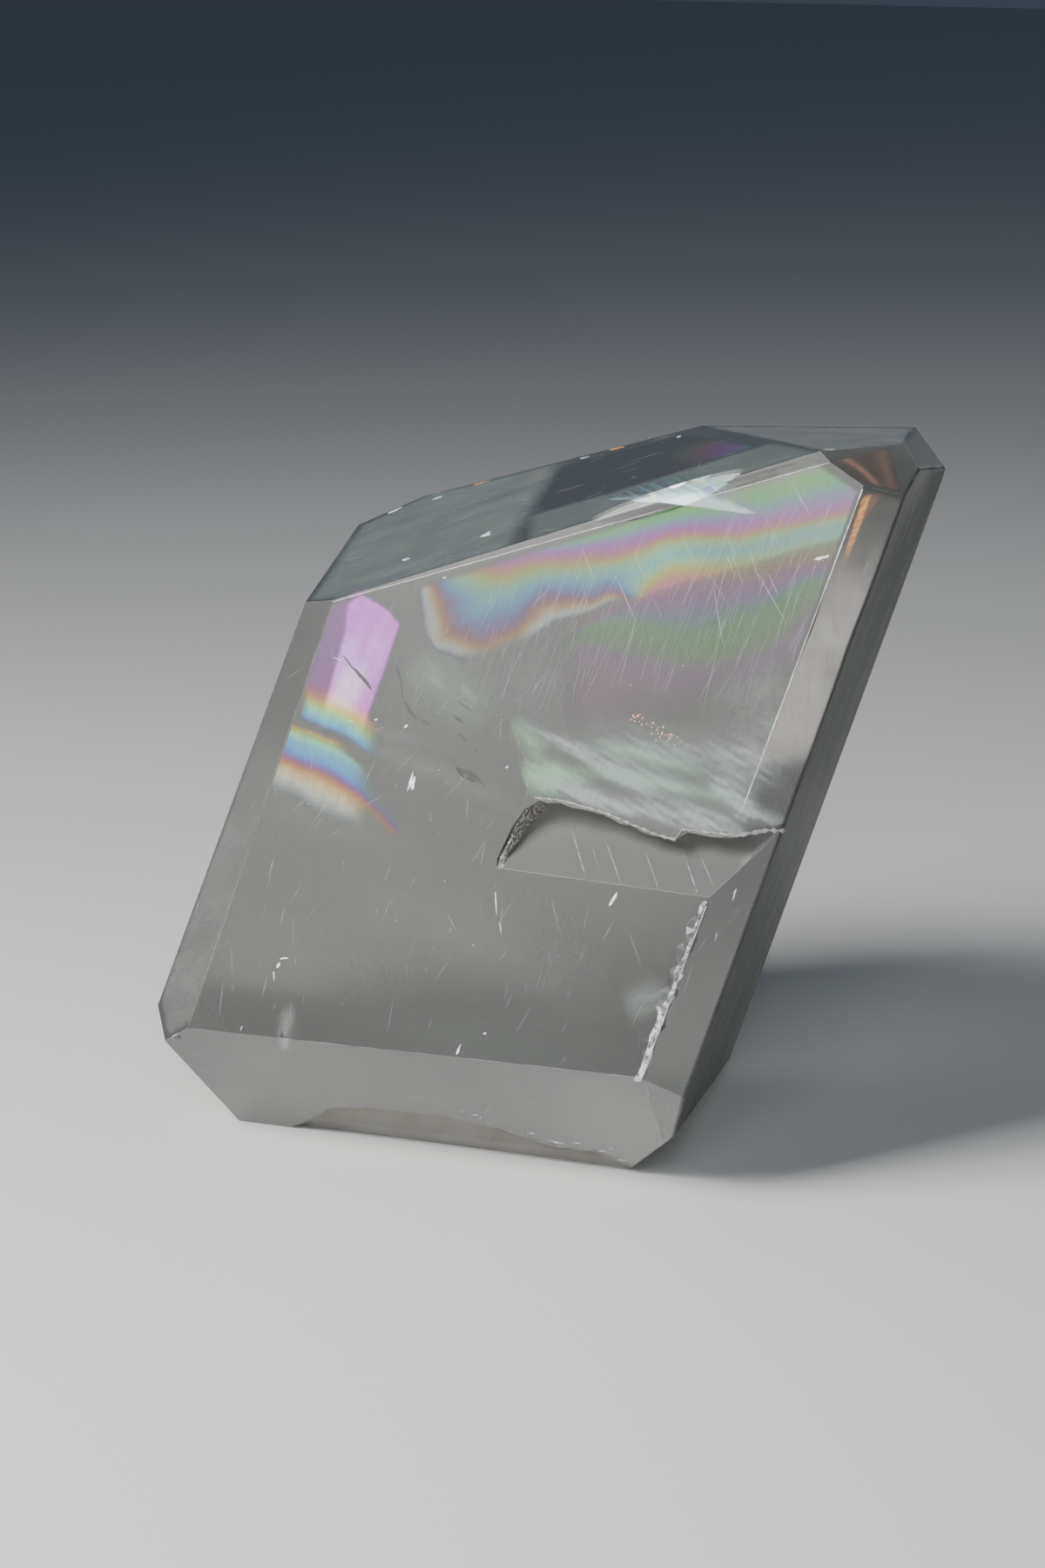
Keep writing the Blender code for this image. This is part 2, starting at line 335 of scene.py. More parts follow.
class Graph:
    """Short hand on one node tree."""

    def __init__(self, tree: bpy.types.NodeTree) -> None:
        """Keeps the tree.

        Args:
            tree: the node tree to add to.
        """
        self.tree = tree

    def add(self, kind: str, *values: object, **settings: object) -> bpy.types.Node:
        """Adds a node and gives its inputs numbers or links, in their order.

        Args:
            kind: the node's type, without its common start.
            values: a number, a tuple, a socket or None for each input.
            settings: attributes of the node, and inputs by name where the node has no such attribute.

        Returns:
            The new node.
        """
        node = self.tree.nodes.new("ShaderNode" + kind)
        for name, value in settings.items():
            setattr(node, name, value)
        for socket, value in zip(node.inputs, values):
            self.feed(socket, value)
        return node

    def feed(self, socket: bpy.types.NodeSocket, value: object) -> None:
        """Links a socket, or sets its number.

        Args:
            socket: the input.
            value: an output socket, a number, a tuple or None.
        """
        if isinstance(value, bpy.types.NodeSocket):
            self.tree.links.new(value, socket)
        elif value is not None:
            socket.default_value = value

    def maths(self, operation: str, *values: object, clamp: bool = False) -> bpy.types.NodeSocket:
        """One Math node's result.

        Args:
            operation: its operation.
            values: its inputs.
            clamp: whether the result is kept from 0 to 1.

        Returns:
            The output socket.
        """
        return self.add("Math", *values, operation=operation, use_clamp=clamp).outputs[0]

    def mix(self, share: object, first: object, second: object) -> bpy.types.NodeSocket:
        """Mixes two colours.

        Args:
            share: how much of the second.
            first: the first colour.
            second: the second colour.

        Returns:
            The colour's socket.
        """
        node = self.tree.nodes.new("ShaderNodeMix")
        node.data_type = "RGBA"
        self.feed(node.inputs["Factor"], share)
        self.feed(node.inputs[6], first)
        self.feed(node.inputs[7], second)
        return node.outputs[2]

    def ramp(self, value: object, low: float, high: float) -> bpy.types.NodeSocket:
        """Maps a range smoothly onto 0 to 1.

        Args:
            value: what is mapped.
            low: start of its range.
            high: end of its range.

        Returns:
            The result's socket.
        """
        node = self.tree.nodes.new("ShaderNodeMapRange")
        node.interpolation_type = "SMOOTHSTEP"
        for socket, number in zip(node.inputs, (value, low, high)):
            self.feed(socket, number)
        return node.outputs[0]

    def attribute(self, name: str) -> bpy.types.NodeSocket:
        """A named number of the mesh."""
        return self.add("Attribute", attribute_name=name).outputs["Fac"]

    def place(self, scale: tuple = (1.0, 1.0, 1.0), turn: tuple = (0.0, 0.0, 0.0)) -> bpy.types.NodeSocket:
        """Object coordinates, turned and scaled.

        Args:
            scale: factor on each axis after the turn.
            turn: turn in degrees.

        Returns:
            The vector's socket.
        """
        here = self.add("TexCoord").outputs["Object"]
        angles = tuple(math.radians(angle) for angle in turn)
        turned = self.add("Mapping", here, None, angles, None).outputs[0]
        return self.add("Mapping", turned, None, None, scale).outputs[0]

    def use(self, effect: bpy.types.NodeTree, **values: object) -> bpy.types.Node:
        """Places an effect group with its own values.

        Args:
            effect: the group's tree.
            values: its inputs by name.

        Returns:
            The group's node.
        """
        node = self.tree.nodes.new("ShaderNodeGroup")
        node.node_tree = effect
        for name, value in values.items():
            self.feed(node.inputs[name], value)
        return node


class Effects:
    """The node groups that more than one finish uses."""

    def __init__(self) -> None:
        """Builds each group once."""
        self.film = self.film_colours()
        self.cloud = self.soft_cloud()
        self.streak = self.fine_streaks()

    @staticmethod
    def start(name: str, inputs: dict[str, tuple[str, object]], outputs: dict[str, str]) -> tuple:
        """Opens a group with named inputs and outputs.

        Args:
            name: the group's name.
            inputs: kind of socket and value by name.
            outputs: kind of socket by name.

        Returns:
            The tree, its graph, the input node and the output node.
        """
        tree = bpy.data.node_groups.new(name, "ShaderNodeTree")
        for label, (kind, value) in inputs.items():
            socket = tree.interface.new_socket(label, in_out="INPUT", socket_type="NodeSocket" + kind)
            if value is not None:
                socket.default_value = value
        for label, kind in outputs.items():
            tree.interface.new_socket(label, in_out="OUTPUT", socket_type="NodeSocket" + kind)
        graph = Graph(tree)
        return tree, graph, tree.nodes.new("NodeGroupInput"), tree.nodes.new("NodeGroupOutput")

    def film_colours(self) -> bpy.types.NodeTree:
        """Colours of a thin air film: red, green and blue are each half of 1 - cos(turn * path / wave).

        Returns:
            The group: path in thousandths of a mm and vividness in, colour out.
        """
        tree, graph, start, end = self.start(
            "film_colours", {"Path": ("Float", 0.5), "Vivid": ("Float", 0.7)}, {"Color": "Color"}
        )
        channels = []
        for wave in WAVES:
            turns = graph.maths("MULTIPLY", start.outputs["Path"], math.tau / wave)
            swing = graph.maths("COSINE", turns)
            channels.append(graph.maths("MULTIPLY_ADD", swing, -0.5, 0.5))
        pure = graph.add("CombineColor", *channels).outputs[0]
        colour = graph.mix(start.outputs["Vivid"], FILM_GREY, pure)
        graph.feed(end.inputs["Color"], colour)
        return tree

    def soft_cloud(self) -> bpy.types.NodeTree:
        """Cloudy mask: noise of a size, stepped smoothly between two levels.

        Returns:
            The group: vector, size in mm, low and high in, mask out.
        """
        tree, graph, start, end = self.start(
            "soft_cloud",
            {
                "Vector": ("Vector", None),
                "Size": ("Float", 8.0),
                "Low": ("Float", 0.4),
                "High": ("Float", 0.7),
            },
            {"Mask": "Float"},
        )
        scale = graph.maths("DIVIDE", 1000.0, start.outputs["Size"])
        noise = graph.add("TexNoise", start.outputs["Vector"], None, scale, 3.0, 0.55)
        node = graph.add("MapRange", noise.outputs[0], start.outputs["Low"], start.outputs["High"], 0.0, 1.0)
        node.interpolation_type = "SMOOTHSTEP"
        graph.feed(end.inputs["Mask"], node.outputs[0])
        return tree

    def fine_streaks(self) -> bpy.types.NodeTree:
        """Fine parallel streaks: noise on a stretched vector, kept where it is near its middle value.

        Returns:
            The group: stretched vector, scale and width in, mask out.
        """
        tree, graph, start, end = self.start(
            "fine_streaks",
            {"Vector": ("Vector", None), "Scale": ("Float", 60.0), "Width": ("Float", 0.02)},
            {"Mask": "Float"},
        )
        noise = graph.add("TexNoise", start.outputs["Vector"], None, start.outputs["Scale"], 2.0, 0.5)
        off = graph.maths("ABSOLUTE", graph.maths("SUBTRACT", noise.outputs[0], 0.5))
        share = graph.maths("DIVIDE", off, start.outputs["Width"])
        graph.feed(end.inputs["Mask"], graph.maths("SUBTRACT", 1.0, share, clamp=True))
        return tree


def new_material(name: str) -> tuple[bpy.types.Material, Graph, bpy.types.Node]:
    """Opens a material on its Principled shader.

    Args:
        name: the material's name.

    Returns:
        The material, its graph and its shader.
    """
    material = bpy.data.materials.new(name)
    material.use_nodes = True
    material.cycles.emission_sampling = "NONE"
    return material, Graph(material.node_tree), material.node_tree.nodes["Principled BSDF"]


@dataclass(frozen=True)
class ClearCalcite:
    """The stone's finish: clear, faintly grey and milky, with a polished coat, painted shade on the right
    face and the ledge's floor, and a painted glow near the lip.
    """

    light: tuple = (0.455, 0.455, 0.43, 1.0)
    smoke: tuple = (0.40, 0.40, 0.38, 1.0)
    # Painted shade: the right face's dark base colour, with darker streaks, stands in for the shade that
    # falls on this face.
    side: tuple = (0.085, 0.087, 0.087, 1.0)
    shaded_side_streak: tuple = (0.032, 0.032, 0.032, 1.0)
    # Painted shade: the ledge's floor is darker, as the shade in the recess under its lip would make it.
    ledge: tuple = (0.16, 0.16, 0.152, 1.0)
    roughness: float = 0.22
    transmission: float = 0.88
    absorb: tuple = (0.62, 0.64, 0.62, 1.0)
    absorb_density: float = 26.0
    ledge_steps: tuple = (
        (0, -0.01, -0.06),
        (0, -9.5, -8.5),
        (1, 5.5, 6.5),
        (1, 41.5, 39.5),
        (2, -14.0, -13.1),
        (2, -1.5, -2.5),
    )
    # Painted light: a faint glow on the ledge's floor near the lip lifts the shade there.
    shelter_glow: tuple = (0.50, 0.50, 0.47, 1.0)
    shelter_shine: float = 0.09
    matt_roughness: float = 0.34
    matt_coat: float = -0.95
    coat_roughness: float = 0.04
    coat_index: float = 1.5
    bump_strength: float = 0.05
    bump_height: float = 0.00005

    def near(self, graph: Graph, facet: Facet, depth: float) -> bpy.types.NodeSocket:
        """Mask of the surface within a depth of a plane.

        Args:
            graph: the material's graph.
            facet: the plane.
            depth: how far below it the mask ends, in mm.

        Returns:
            The mask's socket.
        """
        here = graph.place()
        along = graph.add("VectorMath", here, tuple(facet.normal), operation="DOT_PRODUCT").outputs["Value"]
        level = (facet.reach + float(HEART @ facet.normal)) * MM
        return graph.ramp(along, level - depth * MM, level - 0.3 * depth * MM)

    def in_ledge(self, graph: Graph) -> tuple[bpy.types.NodeSocket, bpy.types.NodeSocket]:
        """Mask of the ledge's floor: a product of steps below, across and up the front plane, off the bevel.

        Args:
            graph: the material's graph.

        Returns:
            The mask's socket, and how near the lip each spot is.
        """
        foot, across, up = Facet.FRONT.axes()
        away = graph.add("VectorMath", graph.place(), tuple(foot * MM), operation="SUBTRACT").outputs[0]
        spots = [
            graph.add("VectorMath", away, tuple(axis), operation="DOT_PRODUCT").outputs["Value"]
            for axis in (Facet.FRONT.normal, across, up)
        ]
        mask = graph.maths("SUBTRACT", 1.0, self.near(graph, Facet.FRONT_RIGHT, 0.12))
        for axis, none, whole in self.ledge_steps:
            mask = graph.maths("MULTIPLY", mask, graph.ramp(spots[axis], none * MM, whole * MM))
        return mask, graph.ramp(spots[2], -9.5 * MM, -4.0 * MM)

    def material(self, effects: Effects) -> bpy.types.Material:
        """Builds the material.

        Args:
            effects: the shared groups.

        Returns:
            The material.
        """
        material, graph, shader = new_material("calcite_clear")
        cloud = graph.use(effects.cloud, Vector=graph.place(), Size=17.0, Low=0.38, High=0.68).outputs[0]
        colour = graph.mix(cloud, self.light, self.smoke)
        lengthwise = graph.place((1.0, 1.0, 0.16), (20.0, 0.0, 0.0))
        streak = graph.use(effects.cloud, Vector=lengthwise, Size=3.5, Low=0.35, High=0.62).outputs[0]
        # Painted shade: the right face takes the dark colours.
        side = graph.mix(streak, self.side, self.shaded_side_streak)
        right = self.near(graph, Facet.RIGHT, 0.6)
        colour = graph.mix(right, colour, side)
        ledge, near_lip = self.in_ledge(graph)
        # Painted shade on the ledge's floor.
        colour = graph.mix(ledge, colour, self.ledge)
        # Painted light near the lip, on top of the ledge's painted shade.
        sheltered = graph.maths("MULTIPLY", ledge, near_lip)
        graph.feed(shader.inputs["Emission Color"], graph.mix(sheltered, BLACK, self.shelter_glow))
        shader.inputs["Emission Strength"].default_value = self.shelter_shine
        matt = graph.maths("MAXIMUM", right, ledge)
        graph.feed(shader.inputs["Base Color"], colour)
        polish = graph.use(
            effects.streak, Vector=graph.place((1.0, 1.0, 0.05)), Scale=900.0, Width=0.02
        ).outputs[0]
        rough = graph.maths("MULTIPLY_ADD", cloud, 0.04, self.roughness)
        rough = graph.maths("MULTIPLY_ADD", polish, 0.02, rough)
        graph.feed(shader.inputs["Roughness"], graph.maths("MULTIPLY_ADD", matt, self.matt_roughness, rough))
        bump = graph.add("Bump", self.bump_strength, self.bump_height)
        graph.feed(bump.inputs["Height"], cloud)
        graph.feed(shader.inputs["Normal"], bump.outputs[0])
        shader.inputs["IOR"].default_value = IOR
        shader.inputs["Transmission Weight"].default_value = self.transmission
        graph.feed(shader.inputs["Coat Weight"], graph.maths("MULTIPLY_ADD", matt, self.matt_coat, 1.0))
        shader.inputs["Coat Roughness"].default_value = self.coat_roughness
        shader.inputs["Coat IOR"].default_value = self.coat_index
        absorption = graph.add("VolumeAbsorption", self.absorb, self.absorb_density)
        graph.feed(material.node_tree.nodes["Material Output"].inputs["Volume"], absorption.outputs[0])
        return material


@dataclass(frozen=True)
class FilmFinish:
    """A thin air film in a crack: its colours follow the mesh's own film, veil and glow numbers; the glow is
    painted light, as if the film caught the lamps.
    """

    name: str
    vivid: float = 0.75
    shine: float = 0.35
    base: float = 0.6
    wander: float = 0.02

    def material(self, effects: Effects) -> bpy.types.Material:
        """Builds the material.

        Args:
            effects: the shared groups.

        Returns:
            The material.
        """
        material, graph, shader = new_material(self.name)
        cloud = graph.use(effects.cloud, Vector=graph.place(), Size=1.6, Low=0.3, High=0.7).outputs[0]
        path = graph.maths("MULTIPLY_ADD", cloud, self.wander, graph.attribute("film"))
        vivid = graph.maths("MULTIPLY", graph.attribute("pure"), self.vivid)
        colour = graph.use(effects.film, Path=path, Vivid=vivid).outputs[0]
        glow = graph.attribute("glow")
        dim = graph.mix(self.base, BLACK, colour)
        graph.feed(shader.inputs["Base Color"], dim)
        # Painted light: the film glows in its own colours where its glow number is high, standing in for the
        # lamp light that it catches.
        graph.feed(shader.inputs["Emission Color"], graph.mix(glow, BLACK, colour))
        shader.inputs["Emission Strength"].default_value = self.shine
        streak = graph.use(
            effects.streak, Vector=graph.place((1.0, 1.0, 0.06)), Scale=700.0, Width=0.03
        ).outputs[0]
        veil = graph.maths(
            "MULTIPLY", graph.attribute("veil"), graph.maths("MULTIPLY_ADD", streak, -0.2, 1.0)
        )
        graph.feed(shader.inputs["Alpha"], veil)
        graph.feed(shader.inputs["Roughness"], graph.maths("MULTIPLY_ADD", cloud, 0.2, 0.3))
        return material

    def lay(
        self,
        grid: np.ndarray,
        normal: np.ndarray,
        swell: float,
        marks: dict[str, np.ndarray],
        effects: Effects,
    ) -> None:
        """Builds a thin lens of this finish, under its name.

        Args:
            grid: middle points in mm, rows across and columns up.
            normal: unit vector from the lower to the upper layer.
            swell: greatest thickness in mm.
            marks: numbers for each grid point, by attribute name.
            effects: the shared groups.
        """
        thin_lens(self.name, grid, normal, swell, marks, self.material(effects))


@dataclass(frozen=True)
class CrustFinish:
    """A rough broken or scratched surface of one tone with specks of another."""

    name: str
    tone: tuple
    speck: tuple
    size: float = 0.6
    roughness: float = 0.55
    shine: float = 0.0
    alpha: float = 1.0
    thin: float = 1.0

    def material(self, effects: Effects) -> bpy.types.Material:
        """Builds the material.

        Args:
            effects: the shared groups.

        Returns:
            The material.
        """
        material, graph, shader = new_material(self.name)
        cloud = graph.use(effects.cloud, Vector=graph.place(), Size=self.size, Low=0.42, High=0.62).outputs[0]
        colour = graph.mix(cloud, (*self.tone, 1.0), (*self.speck, 1.0))
        graph.feed(shader.inputs["Base Color"], colour)
        # Painted light: where shine is above nothing, the surface glows in its own colour.
        graph.feed(shader.inputs["Emission Color"], colour)
        shader.inputs["Emission Strength"].default_value = self.shine
        graph.feed(shader.inputs["Roughness"], graph.maths("MULTIPLY_ADD", cloud, 0.2, self.roughness))
        graph.feed(
            shader.inputs["Alpha"],
            graph.maths("MULTIPLY_ADD", cloud, self.alpha * (self.thin - 1.0), self.alpha),
        )
        bump = graph.add("Bump", 0.5, 0.0002)
        graph.feed(bump.inputs["Height"], cloud)
        graph.feed(shader.inputs["Normal"], bump.outputs[0])
        return material


def finish_piece(
    name: str, points: np.ndarray, faces: np.ndarray, material: bpy.types.Material
) -> bpy.types.Object:
    """Makes a mesh piece of the stone and lets it ride on its body.

    Args:
        name: the piece's name.
        points: corners in mm.
        faces: rows of corner numbers.
        material: its finish.

    Returns:
        The piece.
    """
    data = bpy.data.meshes.new(name)
    data.from_pydata((points * MM).tolist(), [], faces.tolist())
    data.materials.append(material)
    piece = bpy.data.objects.new(name, data)
    bpy.context.scene.collection.objects.link(piece)
    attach(piece, BODY)
    LOG.info("%s: %d faces", name, len(faces))
    return piece


def thin_lens(
    name: str,
    grid: np.ndarray,
    normal: np.ndarray,
    swell: float,
    marks: dict[str, np.ndarray],
    material: bpy.types.Material,
) -> bpy.types.Object:
    """A thin closed lens on a grid: two layers that part by swell in the middle and meet at the rim.

    Args:
        name: the piece's name.
        grid: middle points in mm, rows across and columns up.
        normal: unit vector from the lower to the upper layer.
        swell: greatest thickness in mm.
        marks: numbers for each grid point, by attribute name.
        material: its finish.

    Returns:
        The piece.
    """
    rows, columns = grid.shape[:2]
    row, column = lattice((-1, 1, rows), (-1, 1, columns))
    half = swell / 2 * np.sqrt(np.clip((1 - row**2) * (1 - column**2), 0.0, 1.0))[..., None] * normal
    upper = np.arange(rows * columns).reshape(rows, columns)
    inner = np.zeros((rows, columns), bool)
    inner[1:-1, 1:-1] = True
    lower = upper.copy()
    lower[inner] = rows * columns + np.arange(inner.sum())
    points = np.concatenate([(grid + half).reshape(-1, 3), (grid - half)[inner]])
    top = np.stack([upper[:-1, :-1], upper[1:, :-1], upper[1:, 1:], upper[:-1, 1:]], -1).reshape(-1, 4)
    bottom = np.stack([lower[:-1, :-1], lower[:-1, 1:], lower[1:, 1:], lower[1:, :-1]], -1).reshape(-1, 4)
    piece = finish_piece(name, points, np.concatenate([top, bottom]), material)
    marks = {"pure": np.ones_like(marks["film"]), **marks}
    for label, values in marks.items():
        layer = piece.data.attributes.new(label, "FLOAT", "POINT")
        layer.data.foreach_set(
            "value", np.concatenate([values.reshape(-1), values[inner]]).astype(np.float32)
        )
    return piece


def hairs(
    name: str, paths: np.ndarray, radii: np.ndarray, normal: np.ndarray, material: bpy.types.Material
) -> bpy.types.Object:
    """Many fine closed hairs: a three-cornered profile of the given radius carried along each path.

    Args:
        name: the piece's name.
        paths: points in mm, one row of rings for each hair.
        radii: half widths in mm for each ring.
        normal: unit vector that the flat profile faces, one for all or one for each hair.
        material: their finish.

    Returns:
        The piece.
    """
    count, rings = radii.shape
    along = np.gradient(paths, axis=1)
    along /= np.linalg.norm(along, axis=-1, keepdims=True) + 1e-9
    facing = np.broadcast_to(normal.reshape(-1, 1, 3), paths.shape)
    side = np.cross(along, facing)
    side /= np.linalg.norm(side, axis=-1, keepdims=True) + 1e-9
    wide = radii[..., None]
    profile = np.stack([paths + side * wide, paths + facing * wide * 0.5, paths - side * wide], axis=2)
    number = np.arange(count * rings * 3).reshape(count, rings, 3)
    turned = np.roll(number, -1, axis=2)
    near = np.stack([number[:, :-1], turned[:, 1:], turned[:, :-1]], -1)
    far = np.stack([number[:, :-1], number[:, 1:], turned[:, 1:]], -1)
    faces = np.concatenate([near.reshape(-1, 3), far.reshape(-1, 3), number[:, 0], number[:, -1, ::-1]])
    return finish_piece(name, profile.reshape(-1, 3), faces, material)


def flakes(
    name: str,
    centres: np.ndarray,
    across: np.ndarray,
    up: np.ndarray,
    swell: np.ndarray,
    material: bpy.types.Material,
    seed: int,
) -> bpy.types.Object:
    """Many small closed flakes: each an uneven ring of nine corners between an upper and a lower peak.

    Args:
        name: the piece's name.
        centres: their middles in mm.
        across: their first half axes in mm.
        up: their second half axes in mm.
        swell: their half thickness vectors in mm.
        material: their finish.
        seed: picks how uneven they are.

    Returns:
        The piece.
    """
    sides, count = 9, len(centres)
    turn = np.linspace(0.0, math.tau, sides, endpoint=False)
    uneven = np.random.default_rng(seed).uniform(0.22, 1.0, (count, sides, 1))
    ring = np.cos(turn)[None, :, None] * across[:, None] + np.sin(turn)[None, :, None] * up[:, None]
    points = np.concatenate(
        [centres[:, None] + ring * uneven, (centres + swell)[:, None], (centres - swell)[:, None]], axis=1
    )
    number = np.arange(count * (sides + 2)).reshape(count, sides + 2)
    rim, after = number[:, :sides], np.roll(number[:, :sides], -1, axis=1)
    peak = np.broadcast_to(number[:, sides, None], rim.shape)
    foot = np.broadcast_to(number[:, sides + 1, None], rim.shape)
    faces = np.concatenate(
        [np.stack([rim, after, peak], -1), np.stack([after, rim, foot], -1)]
    ).reshape(-1, 3)
    return finish_piece(name, points.reshape(-1, 3), faces, material)


@dataclass
class RainbowFilm:
    """The long coloured film of the inner crack under the front face's top edge, with the cloud below it."""

    line_across: float = 20.0
    line_up: float = 36.85
    line_slope: float = 20.3
    depth: float = 2.0
    dip: float = 0.03
    knots: tuple = (-32.0, -24.0, -17.0, -10.0, -4.0, 3.0, 8.0, 15.0, 22.0, 34.0)
    paths: tuple = (1.42, 1.10, 0.95, 0.80, 0.72, 0.77, 0.85, 0.94, 1.03, 1.30, 1.42, 1.66)
    levels: tuple = (
        (-1.6, -1.6, -1.3, -0.4, 0.0, 0.0, 0.2, 0.8, 1.0, 1.2),
        (-0.8, -0.4, 0.7, 1.6, 2.3, 2.6, 3.3, 4.9, 5.6, 6.5),
        (0.6, 1.2, 2.5, 3.4, 4.3, 4.2, 4.7, 6.7, 7.3, 8.2),
        (7.5, 8.0, 8.2, 8.0, 7.3, 6.6, 6.9, 8.6, 9.0, 9.8),
        (14.5, 14.5, 14.2, 11.6, 10.2, 8.2, 8.9, 10.8, 11.3, 12.0),
        (14.7, 14.7, 14.4, 11.8, 10.5, 9.4, 10.2, 12.0, 12.4, 13.2),
        (14.9, 14.9, 14.6, 12.0, 10.9, 11.7, 12.2, 13.5, 13.6, 14.5),
        (15.1, 15.1, 14.9, 12.4, 13.0, 17.6, 18.7, 17.4, 15.8, 17.0),
        (16.0, 16.0, 15.8, 14.2, 17.6, 20.9, 22.0, 21.5, 18.6, 20.0),
        (18.0, 18.0, 18.0, 17.4, 22.3, 25.5, 27.0, 26.5, 23.0, 26.0),
    )
    rim: tuple = (
        (-33.5, -33.0, -31.5, -28.5, -24.5, -20.4, -17.8, -14.6, -8.0, -4.7, -1.0),
        (0.0, 5.5, 10.2, 12.5, 13.9, 13.8, 12.3, 11.0, 11.1, 10.3, 10.6),
    )
    rim_length: tuple = ((-32.0, -15.0, -8.0, 0.0), (3.4, 3.2, 1.6, 1.1))

    def field(self, along: np.ndarray, below: np.ndarray) -> dict[str, np.ndarray]:
        """Path of light through the film, and how strongly it shows.

        Each level is a curve along the line on which the path has one value, and between two
        levels the path changes in proportion. Towards the crack's rim on the left it falls to
        nothing as 1 - exp(-distance / length).

        Args:
            along: distances along the top line in mm.
            below: distances below it in mm.

        Returns:
            film, veil, glow and pure.
        """
        stray = ripple(along, below, 13.0, SEED) * 0.35 + ripple(along, below, 4.0, SEED + 1) * 0.16
        lower = below + stray * smooth(0.0, 4.0, below)
        curves = [np.interp(along, self.knots, level) for level in self.levels]
        curves[3:4] = [0.62 * curves[2] + 0.38 * curves[3], curves[3], 0.5 * curves[3] + 0.5 * curves[4]]
        film = np.full_like(along, self.paths[0])
        for first, after, start, end in zip(curves, curves[1:], self.paths, self.paths[1:]):
            film += (end - start) * np.clip((lower - first) / (after - first), 0.0, 1.0)
        shaken = along + 0.8 * ripple(along, along, 9.0, SEED + 3)
        rim = np.interp(shaken, *self.rim)
        joined = smooth(-6.0, 0.5, along)
        way = np.minimum((rim - lower) * 0.9, (along + 33.0 + 0.1 * below) * 0.8)
        length = np.interp(along, *self.rim_length)
        inside = way > 0.0
        film = film * (1.0 - inside * (1.0 - joined) * np.exp(-np.clip(way, 0.0, None) / length))
        cloud_left = (
            smooth(-15.0, -8.5, along + 0.25 * (below - 12.0))
            * smooth(29.5, 21.5, below + 1.6 * ripple(along, below, 9.0, SEED + 2))
        )
        cloud = np.where(inside, smooth(10.2, 13.2, lower), 1.0) * smooth(9.8, 11.5, lower)
        upper_veil = np.maximum(smooth(0.0, 1.0, way), joined)
        lower_veil = 0.8 * cloud_left * np.maximum(smooth(0.0, 0.6, -way), joined)
        veil = upper_veil * (1.0 - cloud) + lower_veil * cloud
        veil = veil * smooth(-0.2, 1.1, below)
        glare = np.exp(-(((along - 3.0) / 5.0) ** 2) - ((lower - 8.0) / 3.0) ** 2)
        pale = smooth(9.0, 27.0, along)
        rose = smooth(1.42, 1.55, film)
        pure = np.clip(1.0 - 0.3 * pale - 0.08 * cloud - 0.35 * rose + 0.1 * glare, 0.0, 1.0)
        glow = (0.62 + 0.5 * glare + 0.25 * pale) * (1.0 - 0.5 * cloud) * veil
        return {"film": film, "veil": 0.93 * veil, "glow": glow, "pure": pure}

    def build(self, effects: Effects) -> None:
        """Builds the film as a thin lens that dips a little under the face and stays near it at its rims."""
        share, below = lattice((0.0, 1.0, 220), (29.5, -0.3, 115))
        left = -33.8 + 18.0 * smooth(9.0, 17.0, below)
        right = 35.4 - 0.12 * np.clip(below, 0.0, None)
        along = left + (right - left) * share
        turn = math.radians(self.line_slope)
        across = self.line_across + along * math.cos(turn) + below * math.sin(turn)
        up = self.line_up + along * math.sin(turn) - below * math.cos(turn)
        marks = self.field(along, below)
        room = np.minimum(36.6 + 0.271 * (up + 14.0) - across, 0.6 * (62.3 - 0.471 * across - 0.881 * up))
        marks["veil"] = marks["veil"] * smooth(0.0, 0.5, room)
        marks["glow"] = marks["glow"] * smooth(0.0, 0.5, room)
        depth = (
            0.9
            + np.clip(np.minimum(room, below) * 0.25, 0.0, self.depth - 0.9)
            + self.dip * np.clip(below, 0.0, None)
        )
        grid = drape(Facet.FRONT.within(across, up, depth), 0.8)
        FilmFinish("rainbow_film", vivid=1.0, shine=0.80, base=0.12).lay(
            grid, Facet.FRONT.normal, FILM_SWELL, marks, effects
        )


